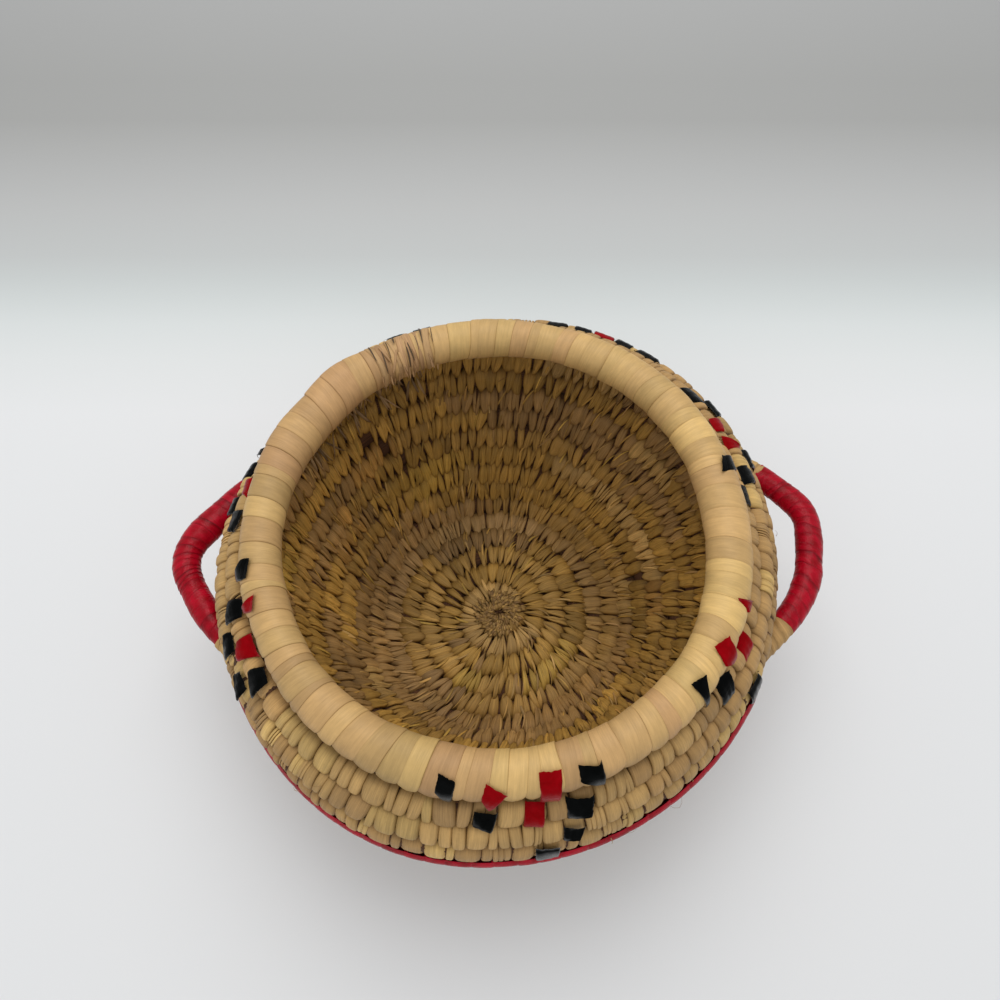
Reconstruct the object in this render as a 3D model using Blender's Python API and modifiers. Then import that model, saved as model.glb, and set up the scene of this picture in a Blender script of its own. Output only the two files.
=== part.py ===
"""A coiled palm-leaf basket with a round belly, a thick wrapped rim and two wrapped ear handles.

The wall is one bundle wound in a spiral from the middle of the base to the rim. One row is sewn
in crimson plastic, and short strips of black and crimson plastic are stitched under the rim.
Metres, +Z up. The origin is on the floor under the middle of the base, and -Y is the front.
"""
from math import cos, pi, radians, sin

import bmesh
import bpy
from mathutils import Matrix, Vector

# Spaces between pieces
CLEARANCE = 0.0003
TURN_GAP = 0.0007

# The coil that makes the base and the wall
COIL_DIAMETER = 0.0095
TURN_POINTS = 24
START_AZIMUTH = radians(-30)
TIP_TURN = 0.25
TIP_DIAMETER = 0.004
FULL_TURN = 0.60
END_TAPER = 0.75
TOP_ROW_END = 0.15
FLAT_CUT = COIL_DIAMETER / 10

# The wall's outline, as lengths along the wall and its slope from the horizontal
BASE_FLAT = 0.047
CORNER_ARC = 0.026
CORNER_SLOPE = radians(50)
LOWER_WALL = 0.055
WALL_SLOPE = radians(58.5)
UPPER_WALL = 0.020
SHOULDER_ARC = 0.022
NECK = 0.015
NECK_SLOPE = radians(131)
OUTLINE_STEPS_PER_ROW = 3

# The rim: a bundle, the leaf wound round it, and the place where its ends are spliced
RIM_CORE_RADIUS = 0.0072
RIM_CORE_SIDES = 8
RIM_POINTS = 2 * TURN_POINTS
RIM_WRAP_CLEARANCE = 0.00065
RIM_WRAP_THICKNESS = 0.0005
RIM_WRAP_REACH = radians(270)
RIM_WRAP_STEPS = 6
RIM_LAPS = 36
LAP_RISE = 1.04
LAP_GAP = 0.0006
SPLICE_AZIMUTH = radians(117)
SPLICE_LENGTH = 0.026
SPLICE_RISE = 1.06
SPLICE_GAP = 0.0012
SPLICE_STEPS = 3

# The handles: a bundle, a strip wound round it, and a leaf binding at each foot
HANDLE_DROP = 0.034
HANDLE_CORE_RADIUS = 0.0046
HANDLE_CORE_SIDES = 8
ROUTE_STEPS = 7
STRIP_PITCH = 0.0061
STRIP_SPACE = 0.0009
STRIP_CLEARANCE = 0.0007
STRIP_THICKNESS = 0.00045
STRIP_RISE = 0.0005
STRIP_STEPS = 6
BINDING_THICKNESS = 0.0009
SHORT_BINDING = 0.010
LONG_BINDING = 0.019

# Each handle's route seen from above: how far past the wall, and how far along the side.
# The first point is the rear foot, inside the wall's outline, where the wall trims it.
LEFT_ROUTE = (
    (-0.014, 0.050),
    (0.001, 0.0385),
    (0.0165, 0.0200),
    (0.0207, 0.0050),
    (0.0165, -0.0090),
    (0.001, -0.0305),
    (-0.014, -0.044),
)
RIGHT_ROUTE = (
    (-0.014, 0.053),
    (0.003, 0.0440),
    (0.0155, 0.0315),
    (0.0211, 0.0190),
    (0.0209, 0.0060),
    (0.0173, -0.0070),
    (0.0065, -0.0240),
    (-0.014, -0.045),
)

# The plastic strips. A level is a row of the coil counted down from the rim, and 0 is the rim.
STRIP_WIDTH = 0.0088
PATCH_THICKNESS = 0.0005
PATCH_HALF_ANGLE = radians(48)
PATCH_STEPS = 4
RIM_PATCH_LOW = radians(-22.5)
RIM_PATCH_HIGH = radians(90)
RIM_PATCH_STEPS = 5
BAND_LEVEL = 4
BAND_HALF_ANGLE = radians(60)
BAND_STEPS = 4
BLACK_PATCHES = {
    0: (18, 189, 260, 290, 320),
    1: (10, 39, 176, 197, 214, 268, 286, 324),
    2: (16, 35, 54, 60, 70, 76, 108, 114, 156, 162, 171, 203, 210, 284),
    3: (21, 279, 330),
}
RED_PATCHES = {
    0: (198, 270, 281, 330, 344),
    1: (26, 32, 158, 168, 206, 277, 334),
    2: (65,),
}

COIL_RADIUS = COIL_DIAMETER / 2
WALL_SEGMENTS = (
    (BASE_FLAT, 0.0, 0.0),
    (CORNER_ARC, 0.0, CORNER_SLOPE),
    (LOWER_WALL, CORNER_SLOPE, WALL_SLOPE),
    (UPPER_WALL, WALL_SLOPE, WALL_SLOPE),
    (SHOULDER_ARC, WALL_SLOPE, NECK_SLOPE),
    (NECK, NECK_SLOPE, NECK_SLOPE),
)
WALL_LENGTH = sum(length for length, _, _ in WALL_SEGMENTS)
COIL_TURNS = int(WALL_LENGTH / (COIL_DIAMETER + TURN_GAP))
ROW_PITCH = WALL_LENGTH / COIL_TURNS
BASE_LIFT = COIL_RADIUS - FLAT_CUT


def remove_everything():
    """Empties the scene."""
    for thing in list(bpy.data.objects):
        bpy.data.objects.remove(thing, do_unlink=True)


def new_collection(name):
    """Returns a new collection in the scene."""
    made = bpy.data.collections.new(name)
    bpy.context.scene.collection.children.link(made)
    return made


def plain_material(name, colour, roughness):
    """Returns a Principled material of one colour."""
    made = bpy.data.materials.new(name)
    made.use_nodes = True
    shader = made.node_tree.nodes["Principled BSDF"]
    shader.inputs["Base Color"].default_value = (*colour, 1.0)
    shader.inputs["Roughness"].default_value = roughness
    shader.inputs["Metallic"].default_value = 0.0
    made.diffuse_color = (*colour, 1.0)
    return made


def wall_point(distance):
    """Returns the radius, height and slope of the wall's middle, so far along it from its centre."""
    radius, height, slope = 0.0, BASE_LIFT, 0.0
    for length, slope_in, slope_out in WALL_SEGMENTS:
        run = min(distance, length)
        bend = (slope_out - slope_in) / length
        slope = slope_in + bend * run
        if bend:
            radius += (sin(slope) - sin(slope_in)) / bend
            height += (cos(slope_in) - cos(slope)) / bend
        else:
            radius += run * cos(slope)
            height += run * sin(slope)
        distance -= run
        if distance <= 0:
            return radius, height, slope
    return radius + distance * cos(slope), height + distance * sin(slope), slope


def coil_state(turn):
    """Returns the coil's centre, slope and radius after so many turns."""
    azimuth = START_AZIMUTH + 2 * pi * turn
    if turn > COIL_TURNS:
        ending = turn - COIL_TURNS
        distance = (COIL_TURNS + ending / 2) * ROW_PITCH
        thickness = (1 - ending) * ROW_PITCH - (ROW_PITCH - COIL_DIAMETER)
    else:
        distance = turn * ROW_PITCH
        growth = min(1.0, (turn - TIP_TURN) / (FULL_TURN - TIP_TURN))
        thickness = TIP_DIAMETER + (COIL_DIAMETER - TIP_DIAMETER) * growth
    radius, height, slope = wall_point(distance)
    centre = Vector((radius * cos(azimuth), radius * sin(azimuth), height))
    return centre, slope, thickness / 2


def coil_turns():
    """Returns the turn number of each point of the coil, from its tip to its tapered end."""
    first = round(TIP_TURN * TURN_POINTS)
    last = round((COIL_TURNS + END_TAPER) * TURN_POINTS)
    return [step / TURN_POINTS for step in range(first, last + 1)]


def poly_curve(name, points):
    """Returns a curve object through (place, radius factor, tilt) points, joined by straight runs."""
    data = bpy.data.curves.new(name, "CURVE")
    data.dimensions = "3D"
    data.twist_mode = "Z_UP"
    data.use_fill_caps = True
    spline = data.splines.new("POLY")
    spline.points.add(len(points) - 1)
    for point, (place, factor, tilt) in zip(spline.points, points):
        point.co = (*place, 1.0)
        point.radius = factor
        point.tilt = tilt
    return bpy.data.objects.new(name, data)


def flat_outline(name, corners):
    """Returns a closed flat curve through the corners, filled on both sides."""
    data = bpy.data.curves.new(name, "CURVE")
    data.dimensions = "2D"
    data.fill_mode = "BOTH"
    spline = data.splines.new("POLY")
    spline.points.add(len(corners) - 1)
    for point, (x, y) in zip(spline.points, corners):
        point.co = (x, y, 0.0, 1.0)
    spline.use_cyclic_u = True
    return data


def band_section(inner_radius, thickness, low, high, steps):
    """Returns the corners of a thin band bent round the origin from one angle to another."""
    angles = [low + (high - low) * step / steps for step in range(steps + 1)]
    outer = inner_radius + thickness
    outside = [(outer * cos(angle), outer * sin(angle)) for angle in angles]
    inside = [(inner_radius * cos(angle), inner_radius * sin(angle)) for angle in reversed(angles)]
    return (outside + inside)[::-1]


def as_mesh(curve_object, collection):
    """Replaces a curve object with a mesh object of the same name and place."""
    name = curve_object.name
    curve_object.name = name + "_curve"
    if curve_object.name not in collection.objects:
        collection.objects.link(curve_object)
    graph = bpy.context.evaluated_depsgraph_get()
    mesh = bpy.data.meshes.new_from_object(curve_object.evaluated_get(graph))
    work = bmesh.new()
    work.from_mesh(mesh)
    bmesh.ops.remove_doubles(work, verts=work.verts, dist=0.00001)
    work.to_mesh(mesh)
    work.free()
    made = bpy.data.objects.new(name, mesh)
    made.matrix_world = curve_object.matrix_world
    collection.objects.link(made)
    bpy.data.objects.remove(curve_object, do_unlink=True)
    return made


def cut(target, cutter):
    """Adds a Boolean difference to a mesh object."""
    step = target.modifiers.new("cut_by_" + cutter.name, "BOOLEAN")
    step.operation = "DIFFERENCE"
    step.object = cutter


def hide_guide(guide, collection):
    """Marks a cutter or guide, which isn't part of the basket."""
    if guide.name not in collection.objects:
        collection.objects.link(guide)
    guide.hide_render = True
    guide.display_type = "WIRE"


def own_box(size, centre, name, collection):
    """Returns a box with its size in its mesh."""
    bpy.ops.mesh.primitive_cube_add(size=1.0, location=centre)
    box = bpy.context.object
    box.name = name
    for corner in box.data.vertices:
        corner.co = Vector(a * b for a, b in zip(corner.co, size))
    for home in list(box.users_collection):
        home.objects.unlink(box)
    collection.objects.link(box)
    return box


def print_least_gap(states, where):
    """Prints the coil's least gap to itself, measured between points half a turn or more apart."""
    least = 1.0
    apart = TURN_POINTS // 2
    for index, (place, _, radius) in enumerate(states):
        for other_place, _, other_radius in states[index + apart:]:
            gap = (place - other_place).length - radius - other_radius
            least = min(least, gap)
    print(f"{where}: least gap to itself {least * 1000:.2f} mm")


def make_coil(parts, guides, leaf):
    """The bundle wound from the base's centre to the rim, cut flat where it stands."""
    states = [coil_state(turn) for turn in coil_turns()]
    print_least_gap(states, "wall_coil")
    points = [(place, radius / COIL_RADIUS, pi / 2 - slope) for place, slope, radius in states]
    coil = poly_curve("wall_coil", points)
    coil.data.bevel_depth = COIL_RADIUS
    coil.data.bevel_resolution = 1
    coil = as_mesh(coil, parts)
    depth = 2 * COIL_DIAMETER
    floor = own_box(
        (3 * WALL_LENGTH, 3 * WALL_LENGTH, depth), (0, 0, -depth / 2), "floor_cutter", guides
    )
    hide_guide(floor, guides)
    cut(coil, floor)
    coil.data.materials.append(leaf)


def make_wall_cutter(guides):
    """A turned solid a clearance outside the crimson row, which trims what meets the wall."""
    offset = COIL_RADIUS + CLEARANCE + PATCH_THICKNESS + CLEARANCE
    outline = []
    steps = OUTLINE_STEPS_PER_ROW * COIL_TURNS
    for step in range(steps + 1):
        radius, height, slope = wall_point(WALL_LENGTH * step / steps)
        outline.append((radius + offset * sin(slope), height - offset * cos(slope)))
    profile = bmesh.new()
    top = profile.verts.new((0, 0, outline[-1][1]))
    ring = [profile.verts.new((x, 0, z)) for x, z in reversed(outline)]
    for first, second in zip([top] + ring, ring):
        profile.edges.new((first, second))
    mesh = bpy.data.meshes.new("wall_cutter")
    profile.to_mesh(mesh)
    profile.free()
    cutter = bpy.data.objects.new("wall_cutter", mesh)
    hide_guide(cutter, guides)
    turned = cutter.modifiers.new("turned", "SCREW")
    turned.steps = TURN_POINTS
    turned.render_steps = TURN_POINTS
    turned.use_merge_vertices = True
    turned.merge_threshold = 0.00001
    return cutter


def rim_place():
    """Returns the radius and height of the rim's centre line, seated on the last row."""
    radius, height, slope = wall_point(COIL_TURNS * ROW_PITCH)
    chord_sag = radius * (1 - cos(pi / TURN_POINTS)) * abs(cos(slope))
    reach = COIL_RADIUS + RIM_CORE_RADIUS + CLEARANCE + chord_sag
    return radius + reach * cos(slope), height + reach * sin(slope)


def rim_wrap_radius():
    """Returns the inner radius of the leaf wound round the rim's bundle."""
    return RIM_CORE_RADIUS + RIM_WRAP_CLEARANCE / cos(pi / RIM_CORE_SIDES)


def make_rim_core(parts, bundle):
    """The bundle inside the rim, a ring on top of the last row."""
    radius, height = rim_place()
    bpy.ops.mesh.primitive_torus_add(
        location=(0, 0, height),
        major_segments=RIM_POINTS,
        minor_segments=RIM_CORE_SIDES,
        major_radius=radius,
        minor_radius=RIM_CORE_RADIUS,
    )
    core = bpy.context.object
    core.name = "rim_core"
    for home in list(core.users_collection):
        home.objects.unlink(core)
    parts.objects.link(core)
    core.data.materials.append(bundle)


def rim_ring_point(azimuth, factor):
    """Returns a curve point on the rim's centre line."""
    radius, height = rim_place()
    return (radius * cos(azimuth), radius * sin(azimuth), height), factor, 0.0


def make_rim_wrap(parts, guides, leaf, splice_leaf):
    """Wide leaf strips lapped round the rim, and the binding over the splice."""
    section = flat_outline(
        "rim_section",
        band_section(
            rim_wrap_radius(), RIM_WRAP_THICKNESS, 0.0, RIM_WRAP_REACH, RIM_WRAP_STEPS
        ),
    )
    section_object = bpy.data.objects.new("rim_section", section)
    hide_guide(section_object, guides)
    ring_radius = rim_place()[0]
    half_splice = SPLICE_LENGTH / 2 / ring_radius
    half_gap = SPLICE_GAP / ring_radius
    first = SPLICE_AZIMUTH + half_splice + half_gap
    lap = (2 * pi - 2 * (half_splice + half_gap)) / RIM_LAPS
    step_over = LAP_GAP / ring_radius
    points = []
    for index in range(RIM_LAPS):
        points.append(rim_ring_point(first + index * lap, 1.0))
        points.append(rim_ring_point(first + (index + 1) * lap - step_over, LAP_RISE))
    wrap = poly_curve("rim_wrap", points)
    wrap.data.bevel_mode = "OBJECT"
    wrap.data.bevel_object = section_object
    wrap.data.materials.append(leaf)
    parts.objects.link(wrap)
    points = []
    for step in range(SPLICE_STEPS + 1):
        azimuth = SPLICE_AZIMUTH + (2 * step / SPLICE_STEPS - 1) * half_splice
        points.append(rim_ring_point(azimuth, SPLICE_RISE))
    splice = poly_curve("rim_splice_binding", points)
    splice.data.bevel_mode = "OBJECT"
    splice.data.bevel_object = section_object
    splice.data.materials.append(splice_leaf)
    parts.objects.link(splice)


def level_turn(level, azimuth):
    """Returns the coil's turn number at an azimuth, some rows down from the rim."""
    part_turn = ((azimuth - START_AZIMUTH) / (2 * pi)) % 1.0
    top = COIL_TURNS + part_turn if part_turn < TOP_ROW_END else COIL_TURNS - 1 + part_turn
    return top - (level - 1)


def chord_centre(turn):
    """Returns a point on the straight run between two points of the coil, its way and slope."""
    before = int(turn * TURN_POINTS) / TURN_POINTS
    share = (turn - before) * TURN_POINTS
    place, slope, _ = coil_state(before)
    next_place, _, _ = coil_state(before + 1 / TURN_POINTS)
    return place.lerp(next_place, share), (next_place - place).normalized(), slope


def section_frame(centre, along, slope):
    """Returns the matrix of a section: X out of the wall, Y up it and Z against the coil."""
    azimuth = Vector((along.y, -along.x, 0)).normalized()
    outward = azimuth * sin(slope) + Vector((0, 0, -cos(slope)))
    up = outward.cross(along).normalized()
    outward = along.cross(up).normalized()
    turned = Matrix((outward, up, -along)).transposed().to_4x4()
    turned.translation = centre
    return turned


def make_patches(parts, black, red):
    """Short strips of plastic stitched over single rows and over the rim's outer edge."""
    row_shape = flat_outline(
        "row_patch",
        band_section(
            COIL_RADIUS + CLEARANCE,
            PATCH_THICKNESS,
            -PATCH_HALF_ANGLE,
            PATCH_HALF_ANGLE,
            PATCH_STEPS,
        ),
    )
    rim_inside = (rim_wrap_radius() + RIM_WRAP_THICKNESS) * LAP_RISE + CLEARANCE
    rim_shape = flat_outline(
        "rim_patch",
        band_section(
            rim_inside, PATCH_THICKNESS, RIM_PATCH_LOW, RIM_PATCH_HIGH, RIM_PATCH_STEPS
        ),
    )
    for shape in (row_shape, rim_shape):
        shape.extrude = STRIP_WIDTH / 2
    for colour, table, material in (
        ("black", BLACK_PATCHES, black),
        ("red", RED_PATCHES, red),
    ):
        number = 0
        for level, azimuths in table.items():
            for degrees in azimuths:
                number += 1
                shape = row_shape if level else rim_shape
                patch = bpy.data.objects.new(f"{colour}_stitch_{number:02d}", shape.copy())
                patch.matrix_world = patch_frame(level, radians(degrees))
                patch.data.materials.append(material)
                parts.objects.link(patch)


def patch_frame(level, azimuth):
    """Returns the place of a strip on the rim or on a row."""
    if level:
        centre, along, slope = chord_centre(level_turn(level, azimuth))
        return section_frame(centre, along, slope)
    radius, height = rim_place()
    outward = Vector((cos(azimuth), sin(azimuth), 0))
    centre = outward * radius + Vector((0, 0, height))
    along = Vector((-sin(azimuth), cos(azimuth), 0))
    return section_frame(centre, along, pi / 2)


def make_red_band(parts, guides, red):
    """One row sewn in crimson: a skin over the outer side of a whole turn of the coil."""
    section = flat_outline(
        "band_section",
        band_section(
            COIL_RADIUS + CLEARANCE,
            PATCH_THICKNESS,
            -BAND_HALF_ANGLE,
            BAND_HALF_ANGLE,
            BAND_STEPS,
        ),
    )
    section_object = bpy.data.objects.new("band_section", section)
    hide_guide(section_object, guides)
    last = (COIL_TURNS - BAND_LEVEL + 1) * TURN_POINTS
    points = []
    for step in range(last - TURN_POINTS, last):
        place, slope, _ = coil_state(step / TURN_POINTS)
        points.append((place, 1.0, pi / 2 - slope))
    band = poly_curve("red_band", points)
    band.data.bevel_mode = "OBJECT"
    band.data.bevel_object = section_object
    band.data.materials.append(red)
    parts.objects.link(band)


def handle_seat():
    """Returns the wall's outer radius and height where the handles are sewn on."""
    radius, height, slope = wall_point(COIL_TURNS * ROW_PITCH - HANDLE_DROP)
    return radius + COIL_RADIUS * sin(slope), height - COIL_RADIUS * cos(slope)


def smooth_route(side, route):
    """Returns points on a smooth curve through a handle's route, from the rear foot."""
    seat_radius, height = handle_seat()
    knots = [Vector((side * (seat_radius + out), along, height)) for out, along in route]
    knots = [2 * knots[0] - knots[1]] + knots + [2 * knots[-1] - knots[-2]]
    points = []
    for a, b, c, d in zip(knots, knots[1:], knots[2:], knots[3:]):
        for step in range(ROUTE_STEPS):
            t = step / ROUTE_STEPS
            points.append(
                b
                + (c - a) * (t / 2)
                + (2 * a - 5 * b + 4 * c - d) * (t * t / 2)
                + (3 * b - a - 3 * c + d) * (t * t * t / 2)
            )
    points.append(knots[-2])
    return points


def foot_length(points):
    """Returns how much of a route, from its first point, lies inside the wall's outline."""
    seat_radius = handle_seat()[0] + CLEARANCE + PATCH_THICKNESS + CLEARANCE
    walked = 0.0
    for here, there in zip(points, points[1:]):
        start, end = here.xy.length, there.xy.length
        if end > seat_radius:
            return walked + (there - here).length * (seat_radius - start) / (end - start)
        walked += (there - here).length
    return walked


def route_part(points, length):
    """Returns the first stretch of a route, so long."""
    kept = [points[0]]
    for here, there in zip(points, points[1:]):
        run = (there - here).length
        if run >= length:
            kept.append(here.lerp(there, length / run))
            return kept
        kept.append(there)
        length -= run
    return kept


def lengthened(points):
    """Returns a route whose two end runs go on past its ends, by a bundle's radius."""
    start = points[0] + (points[0] - points[1]).normalized() * HANDLE_CORE_RADIUS
    end = points[-1] + (points[-1] - points[-2]).normalized() * HANDLE_CORE_RADIUS
    return [start] + points[1:-1] + [end]


def route_tube(name, points, radius, collection):
    """Returns a mesh tube of eight sides along a route."""
    tube = poly_curve(name, [(point, 1.0, 0.0) for point in points])
    tube.data.bevel_depth = radius
    tube.data.bevel_resolution = HANDLE_CORE_SIDES // 2 - 2
    return as_mesh(tube, collection)


def make_binding(name, points, length, trims, parts, leaf):
    """The leaf binding over a handle's foot: a sleeve that the wall trims."""
    bore_cutter, wall_cutter = trims
    outer_radius = binding_bore() + BINDING_THICKNESS
    binding = route_tube(name, route_part(points, length), outer_radius, parts)
    cut(binding, bore_cutter)
    cut(binding, wall_cutter)
    binding.data.materials.append(leaf)


def binding_bore():
    """Returns the radius of the bore that takes a handle's bundle."""
    return HANDLE_CORE_RADIUS + CLEARANCE / cos(pi / HANDLE_CORE_SIDES)


def make_strip_wrap(name, path, start, end, parts, plastic):
    """A plastic strip wound round a handle in one piece, from one binding to the other."""
    width = STRIP_PITCH - STRIP_SPACE
    turns = int((end - start - width) / STRIP_PITCH)
    start += (end - start - width - turns * STRIP_PITCH) / 2
    radius = (HANDLE_CORE_RADIUS + STRIP_CLEARANCE) / cos(pi / STRIP_STEPS)
    profile = bmesh.new()
    first = profile.verts.new((start, 0, radius))
    second = profile.verts.new((start + width, 0, radius + STRIP_RISE))
    profile.edges.new((first, second))
    mesh = bpy.data.meshes.new(name)
    profile.to_mesh(mesh)
    profile.free()
    mesh.materials.append(plastic)
    wrap = bpy.data.objects.new(name, mesh)
    parts.objects.link(wrap)
    wound = wrap.modifiers.new("wound", "SCREW")
    wound.axis = "X"
    wound.iterations = turns
    wound.screw_offset = STRIP_PITCH
    wound.steps = STRIP_STEPS
    wound.render_steps = STRIP_STEPS
    wound.use_normal_flip = False
    thick = wrap.modifiers.new("thick", "SOLIDIFY")
    thick.thickness = STRIP_THICKNESS
    thick.offset = 1.0
    bent = wrap.modifiers.new("bent", "CURVE")
    bent.object = path
    bent.deform_axis = "POS_X"


def make_handle(side_name, side, route, bindings, guides, parts, wall_cutter, finishes):
    """One ear handle: its bundle, its wound strip and a binding at each foot."""
    leaf, bundle, plastic = finishes
    points = smooth_route(side, route)
    core = route_tube(f"{side_name}_handle_core", points, HANDLE_CORE_RADIUS, parts)
    cut(core, wall_cutter)
    core.data.materials.append(bundle)
    bore = route_tube(f"{side_name}_bore_cutter", lengthened(points), binding_bore(), guides)
    hide_guide(bore, guides)
    path = poly_curve(f"{side_name}_handle_path", [(point, 1.0, 0.0) for point in points])
    hide_guide(path, guides)
    total = sum((there - here).length for here, there in zip(points, points[1:]))
    ends = []
    for place, ordered, length in zip(("rear", "front"), (points, points[::-1]), bindings):
        reach = foot_length(ordered) + length
        trims = (bore, wall_cutter)
        make_binding(f"{side_name}_{place}_binding", ordered, reach, trims, parts, leaf)
        ends.append(reach + STRIP_SPACE)
    make_strip_wrap(f"{side_name}_handle_wrap", path, ends[0], total - ends[1], parts, plastic)


def make_handles(parts, guides, leaf, bundle, plastic):
    """Both ear handles, left at -X and right at +X."""
    wall_cutter = make_wall_cutter(guides)
    finishes = (leaf, bundle, plastic)
    for side_name, side, route, bindings in (
        ("left", -1, LEFT_ROUTE, (SHORT_BINDING, SHORT_BINDING)),
        ("right", 1, RIGHT_ROUTE, (SHORT_BINDING, LONG_BINDING)),
    ):
        make_handle(side_name, side, route, bindings, guides, parts, wall_cutter, finishes)


def main():
    """Builds the basket."""
    remove_everything()
    parts = new_collection("coiled_basket")
    guides = new_collection("guides")
    leaf = plain_material("palm_leaf", (0.50, 0.36, 0.18), 0.75)
    rim_leaf = plain_material("rim_leaf", (0.62, 0.44, 0.21), 0.6)
    splice_leaf = plain_material("splice_leaf", (0.45, 0.30, 0.16), 0.8)
    bundle = plain_material("palm_bundle", (0.33, 0.22, 0.10), 0.9)
    red = plain_material("crimson_plastic", (0.42, 0.01, 0.02), 0.3)
    black = plain_material("black_plastic", (0.01, 0.012, 0.015), 0.3)
    make_coil(parts, guides, leaf)
    make_rim_core(parts, bundle)
    make_rim_wrap(parts, guides, rim_leaf, splice_leaf)
    make_red_band(parts, guides, red)
    make_patches(parts, black, red)
    make_handles(parts, guides, rim_leaf, bundle, red)


main()
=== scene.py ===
"""The coiled basket as it looks: leaf stitches, lapped rim, plastic strips and wound handles.

Metres, +Z up, -Y is the front and the left handle is at -X. A row's own axes are the way along
the coil, out of the wall, and up the wall, and a strip's path over a row is in millimetres.
"""
from math import pi, radians, tau

import bpy
import numpy as np
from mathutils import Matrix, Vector
from numpy import arange, array, clip, cos, interp, linspace, maximum, sin, stack, where


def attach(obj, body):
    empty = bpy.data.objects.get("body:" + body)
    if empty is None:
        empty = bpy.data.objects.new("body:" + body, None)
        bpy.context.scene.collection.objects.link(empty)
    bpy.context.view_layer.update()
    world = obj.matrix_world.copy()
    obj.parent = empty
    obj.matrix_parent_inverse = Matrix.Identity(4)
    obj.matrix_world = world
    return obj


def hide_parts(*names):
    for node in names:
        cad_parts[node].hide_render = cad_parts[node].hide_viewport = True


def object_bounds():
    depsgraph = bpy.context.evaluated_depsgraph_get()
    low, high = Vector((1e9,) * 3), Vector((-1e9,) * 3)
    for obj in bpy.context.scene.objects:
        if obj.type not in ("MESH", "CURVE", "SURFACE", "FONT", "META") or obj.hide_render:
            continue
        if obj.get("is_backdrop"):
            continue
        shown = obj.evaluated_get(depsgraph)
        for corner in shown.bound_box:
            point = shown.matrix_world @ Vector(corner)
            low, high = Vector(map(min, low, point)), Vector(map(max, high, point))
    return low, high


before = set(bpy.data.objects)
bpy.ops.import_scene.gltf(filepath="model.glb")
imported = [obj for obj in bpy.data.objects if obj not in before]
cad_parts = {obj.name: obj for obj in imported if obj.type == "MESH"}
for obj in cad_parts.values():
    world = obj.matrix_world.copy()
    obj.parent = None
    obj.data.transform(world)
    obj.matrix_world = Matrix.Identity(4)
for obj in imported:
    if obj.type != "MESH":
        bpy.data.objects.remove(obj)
CAD_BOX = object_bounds()
RNG = np.random.default_rng(11)
normal, uniform = RNG.normal, RNG.uniform

# The coil, as the solids have it
COIL_DIAMETER = 0.0095
START_AZIMUTH = radians(-30)
TIP_TURN = 0.25
TIP_DIAMETER = 0.004
FULL_TURN = 0.6
END_TAPER = 0.75
TOP_ROW_END = 0.15
BASE_LIFT = 0.0038
SLOPE_AT = np.cumsum([0, 0.047, 0.026, 0.055, 0.02, 0.022, 0.015])
SLOPES = np.radians([0, 0, 50, 58.5, 58.5, 131, 131])
WALL_LENGTH = SLOPE_AT[-1]
COIL_TURNS = 18
ROW_PITCH = WALL_LENGTH / COIL_TURNS
BAND_FIRST = COIL_TURNS - 4

# The rim and the handles
RIM_RADIUS = 0.09243
RIM_HEIGHT = 0.11757
RIM_THICKNESS = 0.0087
HANDLE_SEAT = (0.118, 0.077)

# The wall's run from the middle of the base, in small steps
REACH = linspace(0, WALL_LENGTH + ROW_PITCH, 6000)
REACH_SLOPE = interp(REACH, SLOPE_AT, SLOPES)
MID_SLOPE = REACH_SLOPE[:-1] + np.diff(REACH_SLOPE) / 2
REACH_RADIUS = np.append(0, np.cumsum(cos(MID_SLOPE))) * REACH[1]
REACH_HEIGHT = np.append(0, np.cumsum(sin(MID_SLOPE))) * REACH[1]


def way_round(turn):
    """Returns one turn's length at turns of the coil, never less than a small one."""
    radius = interp(np.asarray(turn) * ROW_PITCH, REACH, REACH_RADIUS)
    return tau * maximum(radius, 0.004)


def vectors(x, y, z=0):
    """Joins three coordinates, each spread over the others' axes, into vectors."""
    return stack(np.broadcast_arrays(x, y, z), -1)


def polar(radius, azimuth, height):
    """Returns points by their radius, azimuth and height."""
    return vectors(radius * cos(azimuth), radius * sin(azimuth), height)


def coil_frame(turn):
    """Returns centre, outward and up-wall vectors and thickness share at turns of the coil."""
    turn = maximum(turn, 0)
    ending = clip(turn - COIL_TURNS, 0, None)
    reach = np.minimum(turn, COIL_TURNS + ending / 2) * ROW_PITCH
    lines = REACH_RADIUS, REACH_HEIGHT, REACH_SLOPE
    radius, height, slope = (interp(reach, REACH, line) for line in lines)
    azimuth = START_AZIMUTH + tau * turn
    centre = polar(radius, azimuth, height + BASE_LIFT)
    out = polar(sin(slope), azimuth, -cos(slope))
    up = polar(cos(slope), azimuth, sin(slope))
    grown = clip((turn - TIP_TURN) / (FULL_TURN - TIP_TURN), 0, 1)
    tip = (TIP_DIAMETER + (COIL_DIAMETER - TIP_DIAMETER) * grown) / COIL_DIAMETER
    end = ((1 - ending) * ROW_PITCH - (ROW_PITCH - COIL_DIAMETER)) / COIL_DIAMETER
    share = clip(where(turn > COIL_TURNS, end, tip), 0.05, 1)
    return centre, out, up, share


def coil_points(turn, depth, place):
    """Returns points at turns of the coil, some way out of the wall and up it."""
    centre, out, up, share = coil_frame(turn)
    return centre + out * (depth * share)[..., None] + up * (place * share)[..., None]


def facing(azimuth, *sides):
    """Adds up what each side gives: a size, reached at its degrees, and how narrow it is."""
    total = 0
    for size, at, power in sides:
        total += size * maximum(0, cos(azimuth - radians(at))) ** power
    return total


def hump(value, middle, spread):
    """Returns 1 at the middle, falling smoothly to 0."""
    return np.exp(-(((value - middle) / spread) ** 2))


def ramp_up(value, start, length):
    """Returns 0 before the start, 1 past the length, and even steps between."""
    return clip((value - start) / length, 0, 1)


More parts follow.
